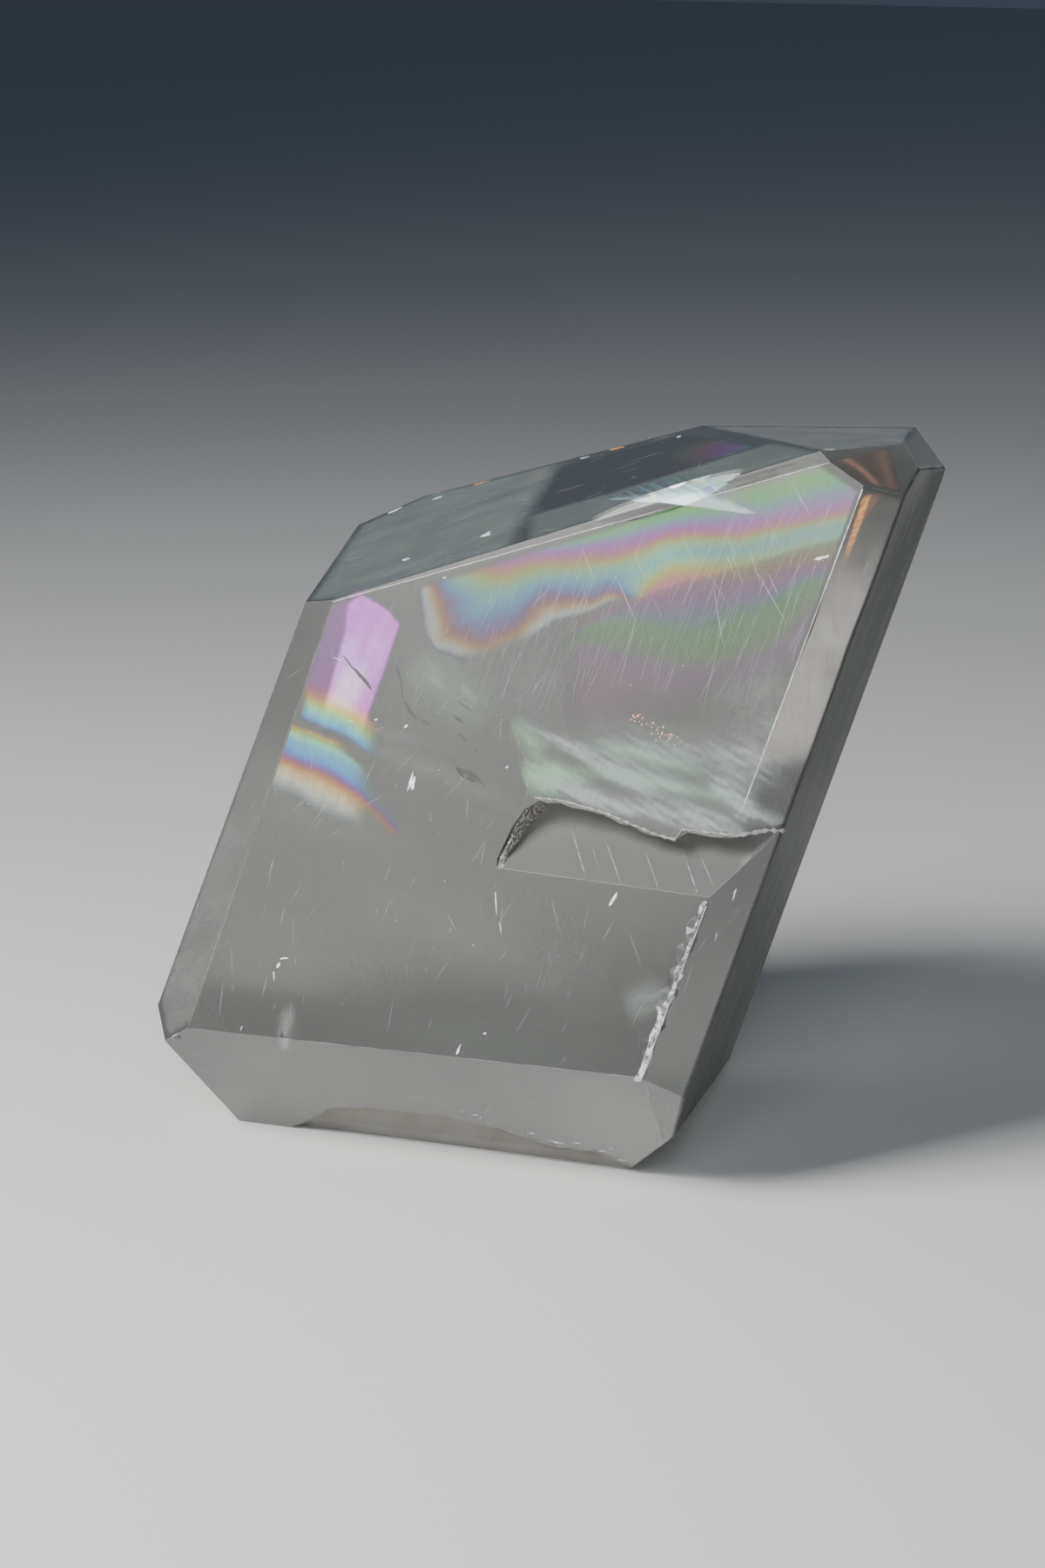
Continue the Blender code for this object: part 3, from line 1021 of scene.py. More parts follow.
@dataclass
class PrismFilm:
    """The bright pink patch at the front face's left edge, with the spectrum below it."""

    depth: float = 2.0
    paths: tuple = (
        (
            -14.0, -6.0, -1.0, 0.6, 1.6, 2.4, 3.2, 4.0, 4.8, 5.3, 6.0, 6.8, 7.8, 9.2, 10.2, 11.0, 11.8, 12.8,
            15.0, 17.0,
        ),
        (
            1.07, 1.09, 1.07, 0.95, 0.88, 0.80, 0.73, 0.66, 0.58, 0.98, 0.93, 0.80, 0.71, 0.65, 0.58, 0.49,
            0.42, 0.34, 0.24, 0.12,
        ),
    )
    right_side: tuple = (
        (3.0, 6.0, 9.0, 14.0, 20.0, 22.0, 24.0), (-16.8, -16.0, -15.2, -13.8, -12.4, -14.6, -18.6)
    )
    left_side: tuple = ((3.0, 9.0, 13.0, 18.3, 22.1, 24.0), (-24.2, -23.0, -22.3, -21.3, -21.3, -19.4))

    def build(self, effects: Effects) -> None:
        """Builds the patch: the path follows the distance below its core by a bent line."""
        share, up = lattice((0.0, 1.0, 100), (-9.0, 24.5, 130))
        left_edge = -23.3 - 0.251 * (22.1 - up)
        across = left_edge + 0.25 + share * (14.0 + 7.0 * smooth(12.0, -2.0, up))
        inner = across - left_edge
        down = (
            (9.3 - up)
            - 0.30 * (across + 22.0)
            - 0.035 * np.clip(across + 20.0, 0.0, None) ** 2
            + 0.35 * ripple(across, up, 7.0, SEED + 5)
        )
        film = np.interp(down, *self.paths)
        right = np.interp(up, *self.right_side)
        left = np.interp(up, *self.left_side)
        top = smooth(0.0, 0.6, 23.9 - 0.42 * np.abs(across + 18.8) - up)
        body = smooth(0.0, 0.7, right - across) * smooth(2.6, 0.4, down) * top
        core = body * smooth(0.0, 0.8, across - left)
        mauve = body * (1.0 - smooth(0.0, 0.8, across - left)) * smooth(0.0, 0.5, inner)
        arc = (
            smooth(-0.5, 0.8, down)
            * smooth(5.0, 4.2, down)
            * smooth(0.0, 4.5, -13.2 - across)
            * smooth(0.4, 2.0, inner)
        )
        spots = smooth(5.4, 6.2, down) * smooth(8.0, 6.6, down) * smooth(0.0, 4.0, -17.5 - across) * 0.7
        fringe = smooth(6.6, 7.6, down) * smooth(17.0, 13.0, down) * smooth(0.0, 5.0, -13.5 - across)
        tail = np.exp(-(((down - 11.0) / 1.1) ** 2)) * smooth(-8.0, -11.0, across) * 0.6
        whole = np.clip(core + 0.55 * mauve + arc + spots + 0.9 * fringe + tail, 0.0, 1.0)
        bright = np.exp(
            -((np.abs(across + 19.4 - 0.25 * (up - 11.0)) / 2.5) ** 3) - (np.abs(up - 10.6) / 3.4) ** 3
        )
        bright += 0.5 * np.exp(-(((across + 20.0) / 1.6) ** 2) - ((up - 16.0) / 1.6) ** 2)
        bright += 0.4 * np.exp(-(((across + 15.8) / 1.2) ** 2) - ((up - 16.6) / 2.2) ** 2)
        bright = np.clip(bright * (core + 0.3 * arc), 0.0, 1.0)
        grain = 0.88 + 0.16 * ripple(across * 2.0, up * 0.7, 2.2, SEED + 6)
        marks = {
            "film": film,
            "veil": 0.9 * whole,
            "glow": np.clip(whole * (0.36 + 0.26 * core - 0.22 * mauve + 0.5 * bright) * grain, 0.0, 1.0),
            "pure": (1.0 - 0.15 * core) * (1.0 - 0.70 * bright),
        }
        depth = 0.5 + np.clip(inner * 0.4, 0.0, self.depth - 0.5) + 0.02 * np.abs(down)
        grid = drape(Facet.FRONT.within(across, up, depth), 0.45)
        FilmFinish("prism_film", vivid=0.9, shine=3.0).lay(
            grid, Facet.FRONT.normal, FILM_SWELL, marks, effects
        )


@dataclass(frozen=True)
class Wisp:
    """One streak of a veil: middle on the front face, slope in degrees, half sizes, strength and tint."""

    across: float
    up: float
    slope: float
    length: float
    width: float
    strength: float
    tint: float = 0.1

    def frame(self, across: np.ndarray, up: np.ndarray) -> tuple[np.ndarray, np.ndarray]:
        """Distances along and over the streak's middle line.

        Args:
            across: level distances in mm.
            up: distances up the face in mm.

        Returns:
            Along and over, in mm.
        """
        turn = math.radians(self.slope)
        along = (across - self.across) * math.cos(turn) + (up - self.up) * math.sin(turn)
        over = (up - self.up) * math.cos(turn) - (across - self.across) * math.sin(turn)
        return along, over

    def weight(self, across: np.ndarray, up: np.ndarray) -> np.ndarray:
        """Bell-shaped weight around the streak: strength * exp(-(along / length)^4 - (over / width)^2).

        Args:
            across: level distances in mm.
            up: distances up the face in mm.

        Returns:
            Weights from 0 to the strength.
        """
        along, over = self.frame(across, up)
        return self.strength * np.exp(-((along / self.length) ** 4) - (over / self.width) ** 2)


@dataclass
class Veils:
    """The white and green veil above the ledge, and the milky wisps elsewhere under the front face."""

    white: tuple[Wisp, ...] = (
        Wisp(17.5, 4.2, -21.0, 9.0, 0.9, 0.85),
        Wisp(24.0, 3.2, -13.0, 9.0, 1.1, 0.5),
        Wisp(15.5, -0.2, -9.0, 4.6, 1.0, 1.0),
        Wisp(19.0, -1.4, -13.0, 6.0, 1.0, 0.95),
        Wisp(31.5, -2.9, -9.0, 9.5, 1.5, 1.0),
        Wisp(30.0, -0.4, -14.0, 10.0, 1.0, 0.6),
        Wisp(38.6, 0.8, -32.0, 3.6, 1.3, 1.0),
        Wisp(43.5, -1.4, -8.0, 3.6, 1.0, 0.8),
        Wisp(42.0, 8.0, 40.0, 7.0, 4.2, 0.5),
        Wisp(31.0, 6.2, -6.0, 14.0, 2.6, 0.5),
    )
    green: tuple[Wisp, ...] = (
        Wisp(8.2, 6.0, -40.0, 3.2, 1.4, 0.6),
        Wisp(10.8, 0.8, -12.0, 3.0, 2.2, 1.0),
        Wisp(14.6, 1.7, -10.0, 3.4, 1.0, 0.7),
        Wisp(26.0, 5.0, -8.0, 8.0, 1.1, 0.5),
        Wisp(28.0, 1.6, -6.0, 11.0, 0.9, 0.6),
    )
    milk: tuple[Wisp, ...] = (
        Wisp(-4.6, 12.0, -24.0, 6.5, 3.4, 0.6, 0.34),
        Wisp(-14.0, 5.0, -8.0, 7.0, 0.9, 0.3),
        Wisp(-5.0, 0.2, -14.0, 11.0, 1.3, 0.34),
        Wisp(-19.0, -8.6, -12.0, 12.0, 2.6, 0.2),
        Wisp(4.0, -22.0, -15.0, 20.0, 5.0, 0.22),
        Wisp(-18.0, -27.0, 10.0, 12.0, 4.0, 0.12),
        Wisp(29.4, -27.4, 30.0, 3.0, 2.0, 0.6),
        Wisp(-23.6, -37.2, 84.0, 2.8, 0.9, 0.75),
        Wisp(14.0, 15.0, 24.0, 12.0, 3.0, 0.2),
        Wisp(40.8, 20.0, 68.0, 7.0, 4.6, 1.0),
    )
    lip: tuple = (
        (5.0, 9.5, 14.0, 20.4, 28.0, 31.1, 32.0, 39.6, 50.5),
        (6.0, -2.2, -2.2, -3.2, -5.4, -5.9, -4.4, -4.5, -3.2),
    )
    rim_across: tuple = ((0.0, 0.18, 0.36, 0.54, 0.8, 1.0), (5.3, 6.4, 7.3, 8.4, 8.9, 9.1))
    rim_up: tuple = ((0.0, 0.18, 0.36, 0.54, 0.8, 1.0), (8.3, 6.5, 4.7, 3.0, -0.2, -2.3))

    def above_ledge(self, effects: Effects) -> None:
        """Builds the veil above the ledge as one lens: the sum of its streaks, combed along its fibres."""
        across, share = lattice((5.0, 50.5, 130), (0.0, 1.0, 80))
        lip = np.interp(across, *self.lip)
        up = lip + 0.25 + share * (13.5 - lip)
        comb = up + 0.36 * across
        grain = (
            0.74
            + 0.42 * ripple(across * 0.2, comb * 2.0, 1.8, SEED + 9)
            + 0.22 * ripple(across, comb * 3.0, 1.6, SEED + 10)
        )
        grain = np.clip(grain, 0.12, 1.25)
        white = sum(wisp.weight(across, up) for wisp in self.white) * grain
        green = sum(wisp.weight(across, up) for wisp in self.green) * (0.6 + 0.4 * grain)
        rim = smooth(5.0, 5.8, across) * smooth(50.5, 49.0, across) * smooth(1.0, 0.9, share)
        veil = np.clip(white + green, 0.0, 0.93) * rim
        tint = green / (white + green + 0.02)
        marks = {
            "film": 0.72 + 0.07 * tint,
            "veil": veil,
            "glow": veil * (1.0 - 0.35 * tint),
            "pure": 0.12 + 0.88 * tint,
        }
        grid = drape(Facet.FRONT.within(across, up, 1.5 + 0.25 * ripple(across, up, 14.0, SEED + 11)), 0.8)
        FilmFinish("ledge_veil", vivid=0.55, shine=0.95, base=0.95).lay(
            grid, Facet.FRONT.normal, LENS_SWELL, marks, effects
        )
        share = np.linspace(0.0, 1.0, 40)
        line = Facet.FRONT.within(
            np.interp(share, *self.rim_across), np.interp(share, *self.rim_up), HAIR_DEPTH
        )
        pale = CrustFinish("veil_rim", (0.78, 0.82, 0.78), (0.5, 0.56, 0.5), 0.8, 0.4, 0.25).material(effects)
        radii = (
            0.09
            * np.clip(0.6 + 0.5 * ripple(share * 14.0, share, 2.0, SEED + 12), 0.2, 1.0)
            * np.sin(share * math.pi) ** 0.4
        )
        hairs("veil_rim", line[None], radii[None], Facet.FRONT.normal, pale)

    def build(self, effects: Effects) -> None:
        """Builds the veil, then each wisp as a small lens of its own."""
        self.above_ledge(effects)
        finish = FilmFinish("milk_wisps", vivid=1.0, shine=0.42, base=0.95).material(effects)
        for number, wisp in enumerate(self.milk):
            along, over = np.meshgrid(
                np.linspace(-1.25, 1.25, 50) * wisp.length,
                np.linspace(-2.0, 2.0, 34) * wisp.width,
                indexing="ij",
            )
            turn = math.radians(wisp.slope)
            across = wisp.across + along * math.cos(turn) - over * math.sin(turn)
            up = wisp.up + along * math.sin(turn) + over * math.cos(turn)
            grain = 0.8 + 0.3 * ripple(along * 0.4, over * 2.0, 2.4, SEED + 20 + number)
            veil = wisp.weight(across, up) * np.clip(grain, 0.1, 1.2)
            marks = {
                "film": np.full_like(veil, 0.74 + 0.1 * wisp.tint),
                "veil": veil,
                "glow": veil,
                "pure": np.full_like(veil, wisp.tint),
            }
            depth = 3.0 + 0.35 * (number % 3) + 0.2 * ripple(along, over, 8.0, SEED + 40 + number)
            grid = drape(Facet.FRONT.within(across, up, depth), 1.0)
            thin_lens(f"milk_wisp_{number + 1}", grid, Facet.FRONT.normal, LENS_SWELL, marks, finish)


@dataclass
class TopCracks:
    """A painted dark sheet under the top facet, for the dark surround seen through it, with film colours at
    its right end; and the bright feathered crack at the front face's top edge.
    """

    dark_sheet_depth: float = 1.1
    near_across: tuple = ((0.0, 0.35, 1.0), (-10.6, -5.5, 0.4))
    near_up: tuple = ((0.0, 0.35, 1.0), (13.6, 25.4, 47.4))
    far_across: tuple = ((0.0, 1.0), (-46.0, -34.0))
    far_up: tuple = ((0.0, 1.0), (17.6, 36.8))
    feather_low: tuple = ((15.2, 20.0, 22.5, 29.0, 35.9, 38.8), (39.8, 39.6, 39.3, 38.9, 38.5, 38.6))
    feather_high: tuple = (
        (15.2, 20.0, 23.9, 26.1, 30.3, 34.0, 38.8), (40.0, 41.7, 43.6, 44.4, 44.2, 42.6, 38.9)
    )

    def painted_dark_sheet(self, effects: Effects) -> None:
        """Builds the dark sheet, painted shade for the dark surround seen through the facet: a four-sided
        field between the facet's inner line and its far edge.
        """
        near_to_far, along = lattice((0.0, 1.0, 60), (0.0, 1.0, 90))
        near = np.stack([np.interp(along, *self.near_across), np.interp(along, *self.near_up)], -1)
        far = np.stack([np.interp(along, *self.far_across), np.interp(along, *self.far_up)], -1)
        spot = near + (far - near) * near_to_far[..., None]
        rim = (
            smooth(0.0, 0.03, near_to_far)
            * smooth(1.0, 0.96, near_to_far)
            * smooth(0.0, 0.03, along)
            * smooth(1.0, 0.97, along)
        )
        blotch = 0.5 + 0.5 * ripple(spot[..., 0], spot[..., 1], 9.0, SEED + 60)
        colour_end = smooth(0.62, 0.95, along) * smooth(0.75, 0.2, near_to_far)
        marks = {
            "film": 0.45 + 0.75 * along + 0.1 * blotch - 0.45 * near_to_far,
            "veil": rim * (0.97 - 0.12 * blotch - 0.25 * colour_end),
            "glow": rim * (0.01 + 0.4 * colour_end),
            "pure": 0.4 + 0.6 * colour_end,
        }
        grid = Facet.TOP.within(spot[..., 0], spot[..., 1], self.dark_sheet_depth)
        FilmFinish("painted_dark_film", vivid=0.95, shine=1.1, base=0.02).lay(
            grid[:, ::-1], Facet.TOP.normal, FILM_SWELL, turned(marks), effects
        )

    def feather(self, effects: Effects) -> None:
        """Builds the feathered crack: a leaf between a lower and an upper line on the front face."""
        across, share = lattice((15.2, 38.8, 120), (0.0, 1.0, 36))
        low = np.interp(across, *self.feather_low)
        high = np.interp(across, *self.feather_high)
        up = low + (high - low) * share
        ribs = 0.5 + 0.5 * ripple(across * 1.2 + up * 1.6, up * 0.25, 1.7, SEED + 70)
        bright = 1.1 * smooth(0.5, 0.12, share) + 0.6 * ribs**2 * smooth(38.0, 24.0, across)
        rim = smooth(0.0, 0.05, share) * smooth(1.0, 0.85, share)
        rim = rim * smooth(15.2, 17.5, across) * smooth(38.8, 36.0, across)
        marks = {
            "film": 0.70 + 0.12 * ripple(across, up, 3.0, SEED + 71),
            "veil": rim * np.clip(0.35 + 0.65 * bright, 0.0, 1.0) * 0.92,
            "glow": rim * np.clip(bright, 0.0, 1.0),
            "pure": 0.25 + 0.4 * (1.0 - np.clip(bright, 0.0, 1.0)),
        }
        grid = drape(Facet.FRONT.on(across, up), 0.3)
        FilmFinish("feather_crack", vivid=0.6, shine=1.5, base=0.95).lay(
            grid, Facet.FRONT.normal, LENS_SWELL, marks, effects
        )

    def build(self, effects: Effects) -> None:
        """Builds the painted dark sheet and the feathered crack."""
        self.painted_dark_sheet(effects)
        self.feather(effects)


@dataclass
class CornerGlow:
    """The copper glow in the top right corner and the orange streak down the right bevel."""

    corner_depth: float = 0.6

    def build(self, effects: Effects) -> None:
        """Builds the corner's film and the streak as thin lenses, and a red thread below the streak."""
        run, cross = lattice((0.0, 1.0, 60), (0.0, 1.0, 50))
        lower = np.stack([8.6 + 5.6 * run, -21.8 - 4.4 * run], -1)
        upper = np.stack([9.2 + 13.4 * run, -17.6 + 0.6 * run], -1)
        spot = lower + (upper - lower) * cross[..., None]
        streak = (
            np.exp(-(((run - 0.16 - 0.35 * (1.0 - cross)) / 0.09) ** 2))
            + 0.4 * np.exp(-(((run - 0.8) / 0.12) ** 2))
        )
        rim = (
            smooth(0.0, 0.05, run)
            * smooth(1.0, 0.95, run)
            * smooth(0.0, 0.05, cross)
            * smooth(1.0, 0.93, cross)
        )
        marks = {
            "film": 0.44 + 0.01 * streak,
            "veil": rim * (0.5 + 0.3 * streak),
            "glow": rim * (0.12 + 0.8 * streak),
        }
        grid = Facet.TOP_CORNER.within(spot[..., 0], spot[..., 1], self.corner_depth)
        FilmFinish("copper_corner", vivid=0.62, shine=0.7, base=0.28).lay(
            grid, Facet.TOP_CORNER.normal, LENS_SWELL, marks, effects
        )
        down, wide = lattice((0.0, 1.0, 110), (-1.0, 1.0, 44))
        aside = wide * (0.8 + 2.6 * np.exp(-4.0 * down) * (wide > 0))
        across = 34.2 - 3.6 * down + aside
        up = 46.0 - 10.2 * down + wide * 0.3
        beads = (
            0.66
            + 0.45 * ripple(across * 2.0, up * 2.0, 1.3, SEED + 80)
            + 0.3 * ripple(across, up, 0.6, SEED + 81)
        )
        core = (
            smooth(1.0, 0.4, np.abs(aside) * (1.0 + 0.5 * down))
            * smooth(0.0, 0.12, down)
            * smooth(1.0, 0.6, down)
        )
        wedge = 0.35 * smooth(1.0, 0.8, wide) * smooth(0.6, 0.25, down) * smooth(0.0, 0.1, down) * (wide > 0)
        marks = {
            "film": (
                0.40 + 0.035 * (1.0 - np.clip(beads, 0.0, 1.0)) + 0.035 * smooth(0.15, 0.8, np.abs(aside))
            ),
            "veil": np.maximum(0.95 * core, wedge),
            "glow": np.clip(core * beads + 0.35 * wedge, 0.0, 1.0),
        }
        grid = drape(Facet.FRONT_RIGHT.within(across, up, THREAD_DEPTH), 0.3)
        FilmFinish("orange_streak", vivid=0.92, shine=1.9, base=0.9).lay(
            grid[:, ::-1], -Facet.FRONT_RIGHT.normal, LENS_SWELL, turned(marks), effects
        )
        red = CrustFinish(
            "red_thread", (0.55, 0.10, 0.04), (0.75, 0.35, 0.2), 1.0, 0.4, 0.3
        ).material(effects)
        share = np.linspace(0.0, 1.0, 14)
        thread = Facet.FRONT_RIGHT.within(
            30.2 - 3.3 * share + 0.25 * np.sin(share * 9.0), 35.5 - 15.5 * share, THREAD_DEPTH
        )
        hairs(
            "red_thread",
            thread[None],
            (0.05 + 0.05 * np.sin(share * 17.0) ** 2)[None],
            Facet.FRONT_RIGHT.normal,
            red,
        )


@dataclass
class Ledge:
    """The rough wall, the hair cracks and the broken white ridge around the ledge in the front face."""

    crease_across: float = 6.3
    crease_up: float = -12.0
    crease_fall: float = -0.028
    floor_slope: float = 24.4
    wall_across: tuple = ((0.0, 0.12, 0.53, 0.82, 1.0), (6.0, 5.9, 7.6, 9.1, 10.8))
    wall_up: tuple = ((0.0, 0.12, 0.53, 0.82, 1.0), (-11.9, -10.8, -6.0, -3.6, -2.5))
    lip_line: tuple = (
        (10.2, 14.0, 20.4, 28.0, 31.1, 32.0, 39.6, 44.2, 50.5),
        (-2.2, -2.2, -3.2, -5.4, -5.9, -4.4, -4.5, -3.4, -3.0),
    )

    def floor_depth(self, across: np.ndarray, up: np.ndarray) -> np.ndarray:
        """Depth of the ledge's floor: height above its crease times the slope of the floor.

        Args:
            across: level distances in mm.
            up: distances up the face in mm.

        Returns:
            Depths in mm.
        """
        crease = self.crease_up + self.crease_fall * (across - self.crease_across)
        return np.clip(up - crease, 0.0, None) * math.tan(math.radians(self.floor_slope))

    def wall(self, effects: Effects) -> None:
        """Builds the crust on the left wall, from the polish down to the floor."""
        along, deep = lattice((0.0, 1.0, 90), (0.0, 1.0, 26))
        across = np.interp(along, *self.wall_across) + 0.12
        up = np.interp(along, *self.wall_up)
        floor = self.floor_depth(across, up)
        draw = np.random.default_rng(SEED + 90)
        rough = (
            0.14 * ripple(along * 12.0, deep * 4.0, 3.4, SEED + 91)
            + 0.07 * draw.normal(0.0, 1.0, along.shape)
        )
        across = across + 0.5 * deep + rough + 0.1
        grid = Facet.FRONT.on(across, up - 0.25 * deep, -deep * floor * 0.94 - 0.02)
        crust = CrustFinish("ledge_wall", (0.10, 0.09, 0.075), (0.42, 0.40, 0.36), 0.45, 0.6, 0.0)
        inward = np.array([1.0, 0.0, 0.0])
        thin_lens("ledge_wall", grid[::-1], inward, 0.25, {"film": along[::-1]}, crust.material(effects))

    def lip(self, effects: Effects) -> None:
        """Builds the frayed rim above the wall: a narrow crumbled strip that follows the lip."""
        along, over = lattice((0.0, 1.0, 220), (-1.0, 1.0, 9))
        across = 10.2 + 36.9 * along
        lip = np.interp(across, *self.lip_line)
        half = np.clip(0.22 + 0.26 * ripple(across, across, 2.6, SEED + 95), 0.04, None)
        up = lip + 0.25 + over * half + 0.12 * ripple(across, over, 0.8, SEED + 96)
        lift = 0.02 - 0.35 * over**2 + 0.05 * ripple(across * 2.0, over, 1.0, SEED + 97)
        grid = drape(Facet.FRONT.on(across, up, lift), -0.06)
        crust = CrustFinish("lip_fray", (0.42, 0.40, 0.36), (0.80, 0.82, 0.82), 0.6, 0.5, 0.02, 0.8, 0.45)
        thin_lens("lip_fray", grid, Facet.FRONT.normal, 0.1, {"film": along}, crust.material(effects))

    def ridge(self, effects: Effects) -> None:
        """Builds the broken white ridge along the right edge below the ledge."""
        along, over = lattice((0.0, 1.0, 260), (-1.0, 1.0, 15))
        up = -13.4 - 25.0 * along
        middle = 36.6 - 7.1 * along - 0.15 + 0.3 * ripple(along * 25.0, along, 5.0, SEED + 100)
        half = 0.22 + 0.3 * along + 0.34 * ripple(along * 25.0, over * 0.2, 2.4, SEED + 101)
        across = middle + over * np.clip(half, 0.08, None)
        draw = np.random.default_rng(SEED + 102)
        rough = 0.12 * ripple(across, up, 2.6, SEED + 103) + 0.07 * draw.normal(0.0, 1.0, along.shape)
        taper = smooth(0.0, 0.06, along) * smooth(1.0, 0.97, along)
        grid = (
            drape(Facet.FRONT.on(across, up, 0.16 * (1.0 - over**2) * taper), -0.02)
            + (rough * taper)[..., None] * Facet.FRONT.normal
        )
        crust = CrustFinish("ridge_fray", (0.72, 0.75, 0.75), (0.36, 0.37, 0.365), 0.9, 0.4, 0.05, 0.95, 0.3)
        thin_lens("ridge_fray", grid, Facet.FRONT.normal, 0.3, {"film": along}, crust.material(effects))

    def floor_cracks(self, effects: Effects) -> None:
        """Builds the parallel hair cracks that run down the ledge's floor."""
        starts = np.array(
            [(16.2, -5.8), (19.4, -7.8), (21.1, -6.4), (27.1, -7.5), (32.7, -7.3), (35.1, -7.4)]
        )
        ends = np.array(
            [(18.9, -12.0), (20.9, -11.0), (24.1, -12.3), (29.5, -12.4), (35.2, -12.6), (37.2, -11.0)]
        )
        share = np.linspace(0.0, 1.0, 31)[None, :, None]
        flat = starts[:, None] + (ends - starts)[:, None] * share
        depth = self.floor_depth(flat[..., 0], flat[..., 1])
        paths = Facet.FRONT.on(flat[..., 0] - 0.431 * depth, flat[..., 1], FLECK_LIFT - depth)
        broken = np.clip(
            0.45 + 0.7 * ripple(flat[..., 1] * 1.3, flat[..., 0] * 3.0, 1.8, SEED + 106), 0.12, 1.0
        )
        radii = (
            np.array([0.045, 0.02, 0.04, 0.045, 0.045, 0.03])[:, None]
            * broken
            * (0.3 + 0.7 * np.sin(share[..., 0] * math.pi))
        )
        pale = CrustFinish(
            "floor_cracks", (0.80, 0.80, 0.78), (0.55, 0.54, 0.52), 1.0, 0.4, 0.1
        ).material(effects)
        hairs("ledge_floor_cracks", paths, radii, Facet.FRONT.normal, pale)

    def build(self, effects: Effects) -> None:
        """Builds the ledge's pieces."""
        self.wall(effects)
        self.lip(effects)
        self.ridge(effects)
        self.floor_cracks(effects)


@dataclass
class Scratches:
    """Hairline scratches of the polish on every facet, cracks inside the front face, and painted highlights
    along the edges.
    """

    def strokes(
        self, facet: Facet, starts: np.ndarray, ends: np.ndarray, radius: np.ndarray, bend: float,
        depth: float, seed: int,
    ) -> tuple[np.ndarray, np.ndarray]:
        """Paths from start to end with a slight seeded bend, thin at both ends.

        Args:
            facet: the plane that they lie on.
            starts: first spots on it in mm.
            ends: last spots on it in mm.
            radius: greatest half widths in mm.
            bend: how far they bow, as a share of the length.
            depth: depth under the plane in mm, or a negative height.
            seed: picks the bows.

        Returns:
            Paths and radii.
        """
        share = np.linspace(0.0, 1.0, 9)[None, :, None]
        draw = np.random.default_rng(seed)
        way = ends - starts
        bow = draw.normal(0.0, bend, (len(starts), 1, 1)) * np.sin(share * math.pi)
        wave = draw.normal(0.0, bend * 0.35, (len(starts), 1, 1)) * np.sin(share * math.tau)
        flat = (
            starts[:, None]
            + way[:, None] * share
            + (bow + wave) * np.stack([-way[:, 1], way[:, 0]], -1)[:, None]
        )
        radii = radius[:, None] * (0.12 + 0.88 * np.sin(share[..., 0] * math.pi) ** 0.6)
        if depth > 0:
            return facet.within(flat[..., 0], flat[..., 1], depth), radii
        return facet.on(flat[..., 0], flat[..., 1], -depth), radii

    def scatter(
        self, name: str, facet: Facet, box: tuple, count: int, slope: tuple, length: tuple, width: float,
        material: bpy.types.Material, seed: int,
    ) -> None:
        """Scatters many fine scratches over a field of a plane, and keeps those that lie on the stone.

        Args:
            name: the piece's name.
            facet: the plane.
            box: lowest and highest across, then up, in mm.
            count: how many are drawn.
            slope: mean and spread of their slope in degrees.
            length: least and greatest length in mm.
            width: greatest half width in mm.
            material: their finish.
            seed: picks them.
        """
        draw = np.random.default_rng(seed)
        middle = np.stack([draw.uniform(box[0], box[1], count), draw.uniform(box[2], box[3], count)], -1)
        turn = np.radians(draw.normal(slope[0], slope[1], count))
        reach = length[0] + (length[1] - length[0]) * draw.uniform(0.0, 1.0, count) ** 2
        half = np.stack([np.cos(turn), np.sin(turn)], -1) * reach[:, None] / 2
        radius = width * draw.uniform(0.3, 1.0, count)
        paths, radii = self.strokes(facet, middle - half, middle + half, radius, 0.008, -0.008, seed + 1)
        others = [number for number, other in enumerate(Facet) if other is not facet]
        kept = (outside(paths)[..., others] < -0.4).all(axis=(1, 2))
        kept &= ~in_notch(paths).any(axis=1)
        hairs(name, paths[kept], radii[kept], facet.normal, material)

    @staticmethod
    def bevel_edge() -> np.ndarray:
        """Mean normal of the edge between the front face and its right bevel."""
        middle = Facet.FRONT.normal + Facet.FRONT_RIGHT.normal
        return middle / np.linalg.norm(middle)

    def cut_edges(self) -> np.ndarray:
        """The stone's edges, with the one that runs through the ledge's notch parted there.

        Returns:
            Start, end and mean normal of each edge.
        """
        ends = stone_edges()
        share = np.linspace(0.0, 1.0, 400)[:, None]
        found = []
        for start, end, normal in ends:
            free = ~in_notch(start + (end - start) * share)
            steps = np.flatnonzero(np.diff(np.concatenate([[False], free, [False]]).astype(int)))
            for first, last in zip(steps[::2], steps[1::2] - 1):
                if last - first > 8:
                    found.append(
                        (start + (end - start) * share[first], start + (end - start) * share[last], normal)
                    )
        return np.array(found)

    def edges(self, effects: Effects) -> None:
        """Builds the painted highlight along every edge, thicker and thinner by turns."""
        ends = self.cut_edges()
        share = np.linspace(0.01, 0.99, 60)
        paths = ends[:, 0, None] * (1.0 - share[:, None]) + ends[:, 1, None] * share[:, None]
        length = np.linalg.norm(ends[:, 1] - ends[:, 0], axis=-1)
        place = share[None] * length[:, None] + np.arange(len(ends))[:, None] * 37.0
        # The edge between the front face and its right bevel gets the widest and brightest painted highlight.
        bright = (ends[:, 2] @ self.bevel_edge() > 0.9999)[:, None]
        radii = np.clip(
            0.028 + 0.035 * bright + 0.05 * ripple(place, place, 7.0, SEED + 110), 0.006 + 0.03 * bright, None
        )
        paths = paths - ends[:, 2, None] * (0.05 - 0.05 * bright[..., None])
        edge_highlight = CrustFinish(
            "painted_edge_highlight", (0.72, 0.74, 0.73), (0.45, 0.46, 0.46), 1.2, 0.35, 0.05
        ).material(effects)
        for part in range(len(ends)):
            hairs(
                f"painted_edge_highlight_{part + 1}", paths[part : part + 1], radii[part : part + 1], ends[part, 2], edge_highlight
            )

